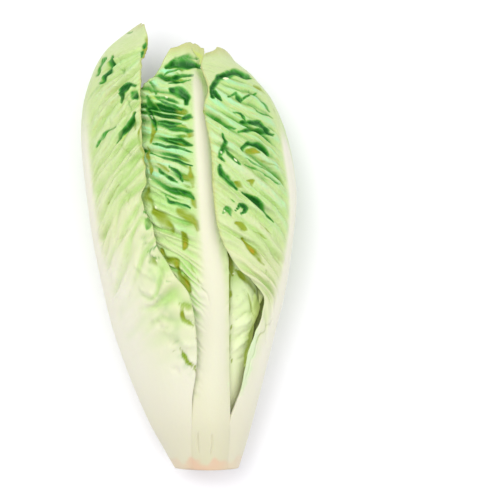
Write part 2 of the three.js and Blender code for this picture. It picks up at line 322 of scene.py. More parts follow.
@dataclass(frozen=True)
class Crease:
    """A crease or pocket in the front of a leaf, along points seen from above.

    One with a negative depth stands up as a ridge or blister, and one without depth only
    colours the leaf.
    """

    line: tuple[Knot, ...]
    width: float
    depth: float
    tone: Tone
    strength: float

    def closeness(self, x: Array, y: Array, spread: float) -> Array:
        """Give 1 on the crease's line, falling to 0 beyond its width.

        Args:
            x: Position across the head.
            y: Position along the head.
            spread: Factor on the width.

        Returns:
            One value for each point; the crease is widest in the middle of its length.
        """
        points = np.array(self.line, float)
        steps = np.diff(points, axis=0)
        lengths = np.hypot(*steps.T)
        so_far = np.concatenate([[0.0], np.cumsum(lengths)])
        best = np.zeros_like(x)
        for start, step, length, before in zip(points, steps, lengths, so_far):
            along = ((x - start[0]) * step[0] + (y - start[1]) * step[1]) / length**2
            t = np.clip(along, 0, 1)
            away = np.hypot(x - start[0] - t * step[0], y - start[1] - t * step[1])
            whole = np.clip((before + t * length) / so_far[-1], 0.03, 0.97)
            taper = spread * self.width * (0.4 + 0.6 * np.sin(math.pi * whole))
            best = np.maximum(best, np.exp(-((away / taper) ** 2)))
        return best


def creases(*rows: tuple) -> tuple[Crease, ...]:
    """Make creases from rows.

    Args:
        rows: Tone, strength, width and depth of each crease, then its points as (x, y).

    Returns:
        The creases in the same order.
    """
    return tuple(Crease(tuple(points), width, depth, tone, strength)
                 for tone, strength, width, depth, *points in rows)


@dataclass(frozen=True)
class Bulge:
    """Swelling of an inner leaf into the opening in front of it, round one angle and place."""

    angle: float = 0.0
    spread: float = 1.0
    y: float = 0.0
    reach: float = 1.0
    height: float = 0.0

    def rise(self, angle: Array, y: Array) -> Array:
        """Give the height of the swelling."""
        turned = (angle - math.radians(self.angle)) / math.radians(self.spread)
        return self.height * np.exp(-(turned**2) - ((y - self.y) / self.reach) ** 2)


@dataclass(frozen=True)
class LeafForm:
    """One leaf: where it lies under the envelope, its edges, rib, folds and finer relief.

    A place on the leaf is u across it, -1 to 1 with the rib at 0, and s along it, 0 at the
    base and 1 at the tip. Sizes that end in before hold for negative u, after for positive u.
    """

    name: str
    slot: str
    tip_y: float
    depth: Curve
    rib: EdgeFromX | EdgeFromAngle
    edge_before: EdgeFromX | EdgeFromAngle
    edge_after: EdgeFromX | EdgeFromAngle
    seed: float
    base_y: float = BUTT_Y
    columns: int = 108
    rows: int = 300
    smooth_up_to: float = 0.2
    crinkled_rows: int = 32
    vein_rise_before: float = 20.0
    vein_rise_after: float = 20.0
    shoulder_before: float = 20.0
    shoulder_after: float = 20.0
    rib_width: float = 12.0
    rib_height: float = 3.2
    fold: float = 1.5
    ruffle: float = 1.6
    waves: float = 9.0
    tip_roll: float = 0.0
    tuck: Tuck = Tuck.NONE
    rests: bool = False
    bulge: Bulge = Bulge()
    frill: float = 0.0
    crinkle: float = 0.5
    crinkle_length: float = 7.6
    blister: float = 0.16
    green_from: float = 0.3
    green_to: float = 0.62
    # shade scales the painted shade in the fold valleys.
    shade: float = 0.7
    cream_width: float = 9.0
    rib_end: float = 1.0
    rib_fade: float = 0.08
    # zone sets where the painted shade and highlight of the folds are strong.
    zone: float = 1.0
    split: float = 0.0
    fold_before: float = 1.0
    ragged: float = 1.3
    # wedge makes the painted valley shade darker just beside the rib.
    wedge: float = 0.0
    smooth_above: Curve = Curve(((-60.0, 200.0), (60.0, 200.0)))
    creases: tuple[Crease, ...] = ()

    def edge_angle(self, u: Array, y: Array) -> Array:
        """Give the angle of the edge on each point's own side of the rib.

        Args:
            u: Position across the leaf.
            y: Position along the head.

        Returns:
            Angles in radians.
        """
        depth = self.depth(y)
        before = self.edge_before.angle(y, depth)
        return np.where(u < 0, before, self.edge_after.angle(y, depth))

    def from_rib(self, u: Array, y: Array) -> Array:
        """Give the distance from the rib in millimetres.

        Args:
            u: Position across the leaf.
            y: Position along the head.

        Returns:
            One distance for each point.
        """
        depth = self.depth(y)
        turn = np.abs(self.edge_angle(u, y) - self.rib.angle(y, depth))
        return turn * np.abs(u) * (ENVELOPE.half_width(y) - depth)

    def crinkle_row(self, s: Array) -> Array:
        """Give the number of the fold row at s, counted from where the crinkles start."""
        return (s - self.smooth_up_to) / (1 - self.smooth_up_to) * self.crinkled_rows

    def tucked(self, u: Array) -> Array:
        """Tell which points lie on the side that goes under the back leaf."""
        return u * self.tuck.value > 0

    def point(self, u: Array, s: Array) -> Array:
        """Place a point on the even middle surface of the leaf.

        Args:
            u: Position across the leaf, -1 to 1 with the rib at 0.
            s: Position along the leaf, 0 at the base and 1 at the tip.

        Returns:
            Rows of x, y, z in millimetres.
        """
        side = np.abs(u)
        even_y = self.base_y + (self.tip_y - self.base_y) * s
        rise = np.where(u < 0, self.vein_rise_before, self.vein_rise_after)
        vein_rise = rise * side * 4 * s * (1 - s)
        drop = np.where(u < 0, self.shoulder_before, self.shoulder_after)
        shoulder = drop * side**1.8 * s**3
        in_crinkles = smoothstep(self.smooth_up_to, self.smooth_up_to + 0.1, s) * (1 - s)
        wobble = ROW_WOBBLE * in_crinkles * np.sin(2.4 * self.crinkle_row(s) + self.seed)
        tip = self.ragged * smooth_noise(u * 5 + 20, u * 0, self.seed + 91)
        y = even_y + vein_rise - shoulder + wobble + tip * smoothstep(TIP_START, 1, s)
        depth = self.depth(y)
        rib = self.rib.angle(y, depth)
        angle = rib + (self.edge_angle(u, y) - rib) * side
        under_back = smoothstep(0.28, 0.56, -np.sin(angle))
        tuck = np.where(self.tucked(u), TUCK_DEPTH, 0.0) * under_back
        depth = depth + tuck * smoothstep(TUCK_START_Y, TUCK_END_Y, y)
        return ENVELOPE.point(angle, y, depth - self.bulge.rise(angle, y))

    def outward(self, u: Array, s: Array) -> Array:
        """Give the outward direction of the even surface at each point.

        Args:
            u: Position across the leaf.
            s: Position along the leaf.

        Returns:
            Rows of x, y, z of length 1.
        """
        step = 0.002
        across = self.point(np.minimum(1, u + step), s) - self.point(np.maximum(-1, u - step), s)
        along = self.point(u, np.minimum(1, s + step)) - self.point(u, np.maximum(0, s - step))
        direction = np.cross(along, across)
        return direction / np.linalg.norm(direction, axis=-1, keepdims=True)

    def off_rib(self, u: Array, y: Array) -> Array:
        """Give 0 on the smooth rib and 1 out on the folded blade.

        Args:
            u: Position across the leaf.
            y: Position along the head.

        Returns:
            One share for each point, lower on a side that is tucked away.
        """
        away = smoothstep(RIB_CLEAR, FOLD_START, self.from_rib(u, y))
        hidden = 0.6 * smoothstep(0.25, 0.5, np.abs(u))
        return np.where(self.tucked(u), hidden, away)

    def fold_share(self, u: Array, s: Array, y: Array) -> Array:
        """Give how strongly the blade is folded, 0 to 1.

        Args:
            u: Position across the leaf.
            s: Position along the leaf.
            y: Position along the head.

        Returns:
            One share for each point.
        """
        side = np.abs(u)
        across = self.off_rib(u, y) * (1 - 0.3 * smoothstep(0.85, 1, side))
        across = across * np.where(u < 0, self.fold_before, 1.0)
        return across * smoothstep(self.smooth_up_to, self.smooth_up_to + 0.3, s + 0.14 * side)

    def fold_profile(self, u: Array, s: Array) -> Array:
        """Give the folds between the side veins: 1 on broad ridges, -1 in narrow valleys.

        Args:
            u: Position across the leaf.
            s: Position along the leaf.

        Returns:
            One height for each point, as a share of the fold's own.
        """
        row = self.crinkle_row(s)
        wander = 0.42 * smooth_noise(u * 3.1 + 5, row / 3.3, self.seed) + 0.2 * smooth_noise(
            u * 8, row / 1.9, self.seed + 3)
        valley = (0.5 - 0.5 * np.cos(math.pi * (row + wander))) ** 1.7
        between = (0.5 + 0.5 * np.cos(math.pi * (row + 1.4 * wander))) ** 4
        here = smoothstep(-0.35, 0.35, smooth_noise(u * 2.4 + 9, row / 2.6, self.seed + 19))
        return 1 - 2 * np.maximum(valley, self.split * here * between)

    def edge_wave(self, u: Array, s: Array) -> Array:
        """Give the wave of the free edges and the roll of a curled tip.

        Args:
            u: Position across the leaf.
            s: Position along the leaf.

        Returns:
            One height for each point in millimetres.
        """
        wave = 0.5 + 0.5 * np.sin(self.waves * math.pi * s + 2 * u + self.seed)
        free = smoothstep(0.7, 1, np.abs(u)) * smoothstep(0.35, 0.6, s)
        groove = smoothstep(TIP_START, 0.925, s) * (1 - smoothstep(0.925, 0.96, s))
        roll = self.tip_roll * (smoothstep(0.94, 1, s) - 0.8 * groove)
        return np.where(self.tucked(u), 0.0, self.ruffle * wave * free) + roll

    def rib_thickness(self, u: Array, y: Array) -> Array:
        """Give how much thicker the leaf is near its rib.

        Args:
            u: Position across the leaf.
            y: Position along the head.

        Returns:
            One thickness for each point in millimetres.
        """
        to_tip = np.clip((y - self.base_y) / (self.tip_y - self.base_y), 0, 1)
        width = self.rib_width * (1 - 0.72 * to_tip**0.8)
        height = self.rib_height * (1 - 0.75 * to_tip) * (1 - smoothstep(0.93, 0.99, to_tip))
        return height * np.exp(-((self.from_rib(u, y) / width) ** 2))


def cut_tint(x: Array, y: Array) -> Array:
    """Give how far the cut at the butt has turned pinkish.

    Args:
        x: Position across the head.
        y: Position along the head.

    Returns:
        One value for each point.
    """
    top = CUT_TOP_Y + 1.2 * np.sin(x / 1.7) + 0.8 * np.sin(x / 0.9 + 1)
    band = 1 - smoothstep(top - 1.5, top + 0.8, y)
    (tab_x, tab_y), (tab_width, tab_length) = TORN_TAB, TORN_TAB_SIZE
    tab = np.exp(-(((x - tab_x) / tab_width) ** 2) - ((y - tab_y) / tab_length) ** 2)
    middle = 0.35 + 0.65 * np.exp(-(((x - CUT_MIDDLE_X) / 9.5) ** 4))
    return band * middle * (1 - tab)


class Relief:
    """The finer relief of one leaf and the masks that its finish reads, one value a point."""

    def __init__(self, form: LeafForm, u: Array, s: Array, place: Array) -> None:
        """Work out the relief of a leaf.

        Args:
            form: The leaf.
            u: Position across the leaf.
            s: Position along the leaf.
            place: Points of the even surface in millimetres.
        """
        self.form, self.u, self.s, self.side = form, u, s, np.abs(u)
        self.x, self.y = place[:, 0], place[:, 1]
        self.seen_x, self.seen_y = seen_from_above(place)
        self.away = form.from_rib(u, self.y) * np.sign(u)
        self.up = (s - form.smooth_up_to) * (form.tip_y - form.base_y)
        self.row = form.crinkle_row(s)

        tip_start = form.smooth_above(self.seen_x)
        self.below_tip = 1 - smoothstep(tip_start - 1, tip_start + 3, self.seen_y)
        on_tip = SMOOTH_TIP_SHARE + (1 - SMOOTH_TIP_SHARE) * self.below_tip
        self.share = form.fold_share(u, s, self.y) * on_tip
        self.profile = form.fold_profile(u, s)
        uneven = 0.66 + 0.34 * np.sin(1.3 * self.row + 4.6 * u + form.seed)
        self.uneven = uneven * (0.72 + 0.5 * self.row_patches(11, 2.3, 61))
        drift = 0.6 * self.patches(9, 14, 31)
        waves = np.abs(np.sin(math.pi * (self.up / form.crinkle_length + drift)))
        self.ripple = waves**0.7 - 0.62
        self.broken = 0.5 + 0.5 * self.patches(8, 11, 7)
        self.cells = self.patches(3.4, 2.6, 11)
        self.frill_line, self.frill_share = self.frills()

        self.height = self.folds()
        self.masks = {tone.value: np.zeros_like(self.height) for tone in Tone}
        self.press_creases()
        del self.masks[PLAIN.value]
        self.masks |= self.vein_masks() | self.blade_masks()
        self.height = np.clip(self.height, -MOST_RELIEF, MOST_RELIEF)

    def patches(self, across: float, along: float, pattern: float) -> Array:
        """Give smooth random patches that are fixed to the blade.

        Args:
            across: Size of a patch across the leaf in millimetres.
            along: Size of a patch along the leaf in millimetres.
            pattern: Number that picks one pattern of this leaf.

        Returns:
            One value for each point, -1 to 1.
        """
        return smooth_noise(self.away / across, self.up / along, self.form.seed + pattern)

    def row_patches(self, across: float, rows: float, pattern: float) -> Array:
        """Give patches like those above, but with their length in rows of folds."""
        return smooth_noise(self.away / across, self.row / rows, self.form.seed + pattern)

    def place_patches(self, across: float, along: float, pattern: float) -> Array:
        """Give patches like those above, but fixed to the place in the head."""
        return smooth_noise(self.x / across, self.y / along, self.form.seed + pattern)

    def frills(self) -> tuple[Array, Array]:
        """Give the frilled lower margins.

        Returns:
            The height of the frills and how strong they are at each point.
        """
        line = self.row / 1.5 + 0.7 * self.row_patches(9, 2, 53)
        share = smoothstep(0.4, 0.75, self.side) * smoothstep(0.17, 0.3, self.s)
        share = share * (1 - smoothstep(0.55, 0.8, self.s)) * (~self.form.tucked(self.u))
        return np.abs(np.sin(math.pi * line)) ** 0.8 - 0.6, share

    def folds(self) -> Array:
        """Give the height of the folds, crinkles, blisters and frills.

        Returns:
            One height for each point in millimetres.
        """
        form = self.form
        fold = form.fold * self.share * self.uneven * self.profile
        pitted = self.patches(1.9, 1.6, 17)
        crinkles = form.crinkle * self.broken * self.ripple * 2
        fine = crinkles + form.blister * (self.cells + 0.5 * pitted)
        return fold + self.share * fine + form.frill * self.frill_share * self.frill_line

    def press_creases(self) -> None:
        """Press the leaf's own creases into it, each with a low lip, and note their tones, most of
        them painted shade or painted highlight.
        """
        bent_x = self.seen_x + CREASE_WANDER * self.place_patches(3.1, 3.7, 41)
        bent_y = self.seen_y + CREASE_WANDER * self.place_patches(3.5, 3.2, 43)
        # Patchy strength of the colour painted into the creases.
        patchy_strength = 0.8 + 0.35 * self.place_patches(2.6, 2.3, 47)
        for crease in self.form.creases:
            spread = SOFT_CREASE_SPREAD if crease.tone is OLIVE_SHADE else 1.0
            close = crease.closeness(bent_x, bent_y, spread) * (~self.form.tucked(self.u))
            lip = np.clip(close * (1 - close) * 4, 0, 1)
            self.height += crease.depth * (0.3 * lip - close)
            self.deepen(crease.tone, close * crease.strength * patchy_strength)
            # Painted highlight on the lip of each dark crease.
            if crease.tone is DARK:
                self.deepen(LIME_HIGHLIGHT, lip * (0.45 + 0.45 * self.cells))

    def deepen(self, tone: Tone, mask: Array) -> None:
        """Add a crease's mask to those of its tone."""
        self.masks[tone.value] = np.maximum(self.masks[tone.value], mask)

    def vein_masks(self) -> dict[str, Array]:
        """Give the masks of the colour that runs with the side veins.

        Returns:
            Name of each mask to one value a point.
        """
        streak = self.row_patches(24, 0.9, 71)
        streak = streak * 0.7 + 0.3 * self.row_patches(9, 0.5, 73)
        line_row = self.row * 1.7 + 0.8 * self.row_patches(15, 3, 79)
        thin = (0.5 + 0.5 * np.cos(2 * math.pi * line_row)) ** 14
        return {
            "streak": self.share * smoothstep(-0.1, 0.6, streak),
            "light": self.share * smoothstep(0.15, 0.7, -streak),
            "line": self.share * thin * smoothstep(0.0, 0.5, self.row_patches(10, 1.2, 83)),
        }

    def darkness(self) -> Array:
        """Give the painted shade in the valleys between the folds and in the crinkle troughs, as
        how dark green they are painted, darker just beside the rib where the leaf has a wedge.

        Returns:
            One share for each point.
        """
        form = self.form
        valley = np.clip(0.5 - 0.5 * self.profile, 0, 1) ** 1.6
        near_rib = np.exp(-(((np.abs(self.away) - form.cream_width - 4) / 8) ** 2))
        darkness = valley * (0.4 + 0.9 * self.broken) * (0.5 + self.uneven)
        darkness = darkness * (1 + form.wedge * (1.6 * near_rib - 0.6))
        darkness = darkness + 0.5 * self.broken * np.clip(-self.ripple, 0, 1)
        return np.clip(darkness * self.share * form.shade, 0, 1)

    def blade_masks(self) -> dict[str, Array]:
        """Give the masks of the rib, the blade, its edges and the butt, and those of the painted
        shade in the fold valleys and frill hollows and of the painted highlight on the fold
        crests.

        Returns:
            Name of each mask to one value a point.
        """
        form, s, side, away = self.form, self.s, self.side, self.away
        rib_width = form.cream_width * (1 - 0.7 * np.clip(s, 0, 1))
        rib_width = np.where(form.tucked(self.u), 4 * rib_width, rib_width)
        to_rib_end = 1 - smoothstep(form.rib_end - form.rib_fade, form.rib_end, s)
        # Where the painted shade and highlight of the folds are strong.
        zone = form.zone * smoothstep(form.green_from + 0.08, form.green_to + 0.1, s)
        # Painted shade: greener in the hollows of the frills.
        frill = self.frill_share * np.clip(0.5 - 2 * self.frill_line, 0, 1)
        return {
            "rib": np.exp(-((away / rib_width) ** 2)) * to_rib_end,
            "sap": smoothstep(0.3, 0.8, side) * smoothstep(0.1, 0.28, s),
            # Band beside the rib, where olive painted shade falls.
            "beside": np.exp(-(((np.abs(away) - rib_width - 2) / 5) ** 2)),
            "grown": smoothstep(form.green_from, form.green_to, s + 0.12 * side),
            "zone": zone * self.below_tip,
            # Painted shade in the fold valleys.
            "valley": self.darkness(),
            # Painted highlight on the fold crests.
            "crest_highlight": self.share * smoothstep(0.1, 0.9, self.profile) * (0.5 + 0.5 * self.cells),
            "edge": smoothstep(0.965, 1.0, np.maximum(side, s)),
            "patch": 0.5 + 0.5 * self.patches(17, 26, 23),
            "frill": frill * min(1, form.frill),
            "cut": cut_tint(self.x, self.y),
            "low": 1 - smoothstep(LOW_START_Y, LOW_END_Y, self.y),
        }


class Value:
    """A number on the way through a shader; Python operators on it add Math nodes."""

    def __init__(self, shader: Shader, socket: bpy.types.NodeSocket) -> None:
        """Hold a socket and the shader that it belongs to."""
        self.shader = shader
        self.socket = socket

    def math(self, operation: str, first: object, second: object) -> Value:
        """Add one Math node.

        Args:
            operation: Name of the Math node's operation.
            first: Value or number for its first input.
            second: Value or number for its second input.

        Returns:
            The result.
        """
        node = self.shader.node("ShaderNodeMath", {"operation": operation},
                                {0: first, 1: second})
        return Value(self.shader, node.outputs[0])

    def __add__(self, other: object) -> Value:
        """Add."""
        return self.math("ADD", self, other)

    def __radd__(self, other: object) -> Value:
        """Add to a number on the left."""
        return self.math("ADD", other, self)

    def __rsub__(self, other: object) -> Value:
        """Subtract from a number on the left."""
        return self.math("SUBTRACT", other, self)

    def __mul__(self, other: object) -> Value:
        """Multiply."""
        return self.math("MULTIPLY", self, other)

    def __rmul__(self, other: object) -> Value:
        """Multiply a number on the left."""
        return self.math("MULTIPLY", other, self)

    def between(self, low: float, high: float) -> Value:
        """Rise smoothly from 0 at low to 1 at high."""
        node = self.shader.node(
            "ShaderNodeMapRange", {"interpolation_type": "SMOOTHSTEP"},
            {"Value": self, "From Min": low, "From Max": high})
        return Value(self.shader, node.outputs["Result"])


def paint(red: int, green: int, blue: int) -> Colour:
    """Turn a colour of a paint chart, 0 to 255, into the linear one that shaders use."""

    def linear(part: int) -> float:
        """Turn one part of the colour into its linear strength."""
        share = part / 255
        return share / 12.92 if share <= 0.04045 else ((share + 0.055) / 1.055) ** 2.4

    return linear(red), linear(green), linear(blue)


class Shader:
    """A material under construction."""

    def __init__(self, name: str) -> None:
        """Start a material with an empty node tree.

        Args:
            name: Name of the material.
        """
        self.material = bpy.data.materials.new(name)
        self.material.use_nodes = True
        self.tree = self.material.node_tree
        self.tree.nodes.clear()

    def node(self, kind: str, settings: dict[str, object],
             inputs: dict[object, object]) -> bpy.types.Node:
        """Add a node.

        Args:
            kind: Type of the node.
            settings: Attributes to set before the sockets.
            inputs: Socket name or number to a Value, a socket, a colour or a number.

        Returns:
            The new node.
        """
        node = self.tree.nodes.new(kind)
        for key, setting in settings.items():
            setattr(node, key, setting)
        for key, given in inputs.items():
            socket = node.inputs[key]
            if isinstance(given, Value):
                self.tree.links.new(given.socket, socket)
            elif isinstance(given, bpy.types.NodeSocket):
                self.tree.links.new(given, socket)
            elif isinstance(given, tuple) and len(given) == 3 and socket.type == "RGBA":
                socket.default_value = (*given, 1.0)
            else:
                socket.default_value = given
        return node

    def mask(self, name: str) -> Value:
        """Read one of the piece's own masks."""
        node = self.node("ShaderNodeAttribute", {"attribute_name": name}, {})
        return Value(self, node.outputs["Fac"])

    def object_place(self) -> bpy.types.NodeSocket:
        """Give the point's place on the piece, in metres."""
        return self.node("ShaderNodeTexCoord", {}, {}).outputs["Object"]

    def leaf_place(self) -> bpy.types.NodeSocket:
        """Give the point's place on the flattened leaf."""
        return self.node("ShaderNodeUVMap", {"uv_map": "leaf"}, {}).outputs["UV"]

    def noise(self, place: bpy.types.NodeSocket, scale: float, detail: float) -> Value:
        """Add a noise pattern.

        Args:
            place: Coordinates that it reads.
            scale: Number of lumps in a unit of length.
            detail: Levels of finer detail.

        Returns:
            The pattern, between 0 and 1.
        """
        node = self.node("ShaderNodeTexNoise", {},
                         {"Vector": place, "Scale": scale, "Detail": detail})
        return Value(self, node.outputs["Fac"])

    def mix(self, share: Value, start: object, end: object) -> bpy.types.NodeSocket:
        """Mix two colours.

        Args:
            share: How much of the second colour.
            start: First colour.
            end: Second colour.

        Returns:
            The mixed colour.
        """
        node = self.node("ShaderNodeMix", {"data_type": "RGBA"}, {0: share, 6: start, 7: end})
        return node.outputs[2]

    def finish(self, colour: object, roughness: Value, height: Value, relief: float,
               constants: dict[str, object]) -> bpy.types.Material:
        """Close the material with one surface shader.

        Args:
            colour: Base colour.
            roughness: Roughness.
            height: Height of the fine surface relief.
            relief: Depth of that relief in metres.
            constants: Sockets of the surface shader that are the same all over.

        Returns:
            The material.
        """
        bump = self.node("ShaderNodeBump", {}, {"Height": height, "Distance": relief,
                                                "Strength": 0.6})
        surface = self.node("ShaderNodeBsdfPrincipled", {}, {
            "Base Color": colour, "Roughness": roughness, "Normal": bump.outputs["Normal"],
            **constants})
        self.node("ShaderNodeOutputMaterial", {}, {"Surface": surface.outputs["BSDF"]})
        return self.material


@dataclass(frozen=True)
class LeafFinish:
    """Waxy leaf: cream rib and pale blade, with a painted highlight in mint on the crests, painted
    shade in green, dark green and olive in the valleys, creases and gaps, and a painted glow where
    light shines through.

    The colours lie on each other in layers, each as strong as its mask says.
    """

    name: str
    cream: Colour = paint(227, 225, 205)
    sap: Colour = paint(212, 218, 170)
    pale: Colour = paint(198, 215, 152)
    # Fresh green: the leaf's own greener patches and streaks, and also painted shade in the
    # valleys outside the zone and in the frill hollows.
    fresh: Colour = paint(172, 210, 118)
    # Painted highlight colour of the fold crests.
    mint_highlight: Colour = paint(150, 228, 176)
    # Green and deep green: painted shade in the fold valleys and creases; green also colours broad
    # bands of the leaf's own tone.
    green: Colour = paint(70, 156, 48)
    deep: Colour = paint(4, 96, 10)
    # Olive and ochre: painted shade in creases, in gaps and beside the rib.
    olive: Colour = paint(138, 160, 30)
    ochre_shade: Colour = paint(178, 150, 22)
    rim: Colour = paint(186, 176, 96)
    cut: Colour = paint(222, 190, 160)
    # Painted highlight colour on crease lips.
    lime: Colour = paint(206, 226, 104)
    # Painted glow colour, for light shining through the leaf.
    lit_through: Colour = paint(206, 226, 120)
    # Painted highlight colour on raised blisters.
    drop: Colour = paint(236, 242, 196)
    margin: Colour = paint(206, 228, 178)
    straw: Colour = paint(206, 200, 164)
    # How strong the painted crest highlight is.
    highlight_share: float = 0.8
    # Strength of the painted glow.
    painted_glow: float = 0.0

    def build(self) -> bpy.types.Material:
        """Build the material.

        Returns:
            The leaf's material.
        """
        shader = Shader(self.name)
        place = shader.object_place()
        flat = shader.leaf_place()
        mask = shader.mask
        rib, grown, zone, cut, edge = map(mask, ("rib", "grown", "zone", "cut", "edge"))
        valley, crest_highlight, sap, patch = map(mask, ("valley", "crest_highlight", "sap", "patch"))
        dark, green, olive, beside = map(mask, ("dark", "green", "olive", "beside"))
        grain = shader.noise(place, 420.0, 3.0)
        mottle = shader.noise(place, 110.0, 2.0)
        cells = shader.node("ShaderNodeTexVoronoi", {"feature": "DISTANCE_TO_EDGE"},
                            {"Vector": flat, "Scale": 30.0})
        vein = 1.0 - Value(shader, cells.outputs["Distance"]).between(0.0, 0.12)
        # Painted shade in the fold valleys, strong only inside the zone.
        low = valley * zone * (0.75 + 0.5 * mottle)
        open_blade = grown * (1.0 - rib) * (1.0 - dark) * (1.0 - olive)

        layers = (
            (sap * (0.5 + 0.7 * patch), self.sap),
            (grown.between(0.0, 0.35) * (0.5 + 0.8 * patch), self.sap),
            (grown.between(0.2, 1.0) * (0.7 + 0.5 * mottle), self.pale),
            (patch * grown * zone * 0.8, self.fresh),
            (mask("streak") * grown * 0.55, self.fresh),
            (mask("light") * grown * 0.5, self.sap),
            # Painted highlight: mint on the fold crests.
            (crest_highlight * zone * self.highlight_share, self.mint_highlight),
            (mask("line") * grown * 0.5, self.rim),
            # Painted shade: the fold valleys are fresh green outside the zone and green to deep
            # green inside it.
            (valley * (1.0 - zone) * 1.1, self.fresh),
            (low.between(0.12, 0.5), self.green),
            (low.between(0.42, 0.8), self.deep),
            # Painted shade: olive in the valleys beside the rib.
            ((low * beside).between(0.1, 0.5) * 0.85, self.olive),
            # Painted highlight: lime on the lips of creases.
            (mask("lime").between(0.3, 0.9) * 0.75, self.lime),
            # Painted shade: olive and ochre in creases and in the gaps between leaves.
            (olive.between(0.15, 0.7), self.olive),
            (olive.between(0.65, 1.0) * mottle.between(0.35, 0.7), self.ochre_shade),
            # Painted shade: green in crease hollows, green to deep green in the dark creases;
            # broad green bands without depth are the leaf's own tone.
            (green.between(0.15, 0.75), self.green),
            (dark.between(0.1, 0.45), self.green),
            (dark.between(0.35, 0.8), self.deep),
            (vein * open_blade * (1.0 - valley) * 0.14, self.cream),
            # Painted shade: greener in the hollows of the frills.
            (mask("frill") * 0.6, self.fresh),
            (mask("margin").between(0.2, 0.7) * 0.7, self.margin),
            # Painted highlight: pale on raised blisters.
            (mask("blister").between(0.3, 0.8), self.drop),
            (edge * grown * 0.5, self.rim),
            (rib.between(0.12, 0.8), self.cream),
            (mask("low") * 0.55, self.straw),
            (cut * (0.7 + 0.5 * mottle), self.cut),
        )
        colour = self.cream
        for share, coat in layers:
            colour = shader.mix(share, colour, coat)
        # Painted glow of light shining through the leaf, only where the lit mask is.
        lit = shader.mix(mask("lit").between(0.1, 0.8), (0.0, 0.0, 0.0), self.lit_through)
        return shader.finish(
            colour, 0.4 + 0.16 * grain, grain * 0.4 + vein * open_blade * 0.6, 0.0004,
            {"Subsurface Weight": 0.12, "Subsurface Radius": (0.7, 1.0, 0.35),
             "Subsurface Scale": 0.0012, "Specular IOR Level": 0.35,
             "Emission Color": lit, "Emission Strength": self.painted_glow})


@dataclass(frozen=True)
class StemFinish:
    """Cut stem: pale flesh that has turned pinkish beige at the cut."""

    flesh: Colour = paint(240, 232, 208)
    cut: Colour = paint(230, 200, 168)
    spot: Colour = paint(188, 140, 104)

    def build(self) -> bpy.types.Material:
        """Build the material.

        Returns:
            The stem's material.
        """
        shader = Shader("cut_stem")
        place = shader.object_place()
        fibre = shader.noise(place, 520.0, 4.0)
        stain = shader.noise(place, 150.0, 2.0)
        cut = shader.mask("cut")
        colour = shader.mix(cut * (0.6 + 0.5 * stain), self.flesh, self.cut)
        colour = shader.mix((stain * fibre * cut).between(0.26, 0.42), colour, self.spot)
        return shader.finish(colour, 0.5 + 0.2 * fibre, fibre, 0.0005,
                             {"Subsurface Weight": 0.1, "Subsurface Scale": 0.001})


def points_of(mesh: bpy.types.Mesh) -> Array:
    """Read the points of a mesh as rows of x, y, z."""
    flat = np.empty(len(mesh.vertices) * 3)
    mesh.vertices.foreach_get("co", flat)
    return flat.reshape(-1, 3)


def finish_mesh(mesh: bpy.types.Mesh, points: Array, masks: dict[str, Array]) -> None:
    """Move the points of a mesh to their places and store the masks on them.

    Args:
        mesh: The mesh.
        points: Rows of x, y, z in millimetres.
        masks: Name of each mask to one value a point.
    """
    mesh.vertices.foreach_set("co", (points * MM).ravel())
    for name, values in masks.items():
        layer = mesh.attributes.new(name, "FLOAT", "POINT")
        layer.data.foreach_set("value", values.astype(np.float32))
    mesh.shade_smooth()
    mesh.update()


def place_in_scene(name: str, mesh: bpy.types.Mesh) -> bpy.types.Object:
    """Put a mesh into the scene as an object."""
    piece = bpy.data.objects.new(name, mesh)
    bpy.context.scene.collection.objects.link(piece)
    return piece


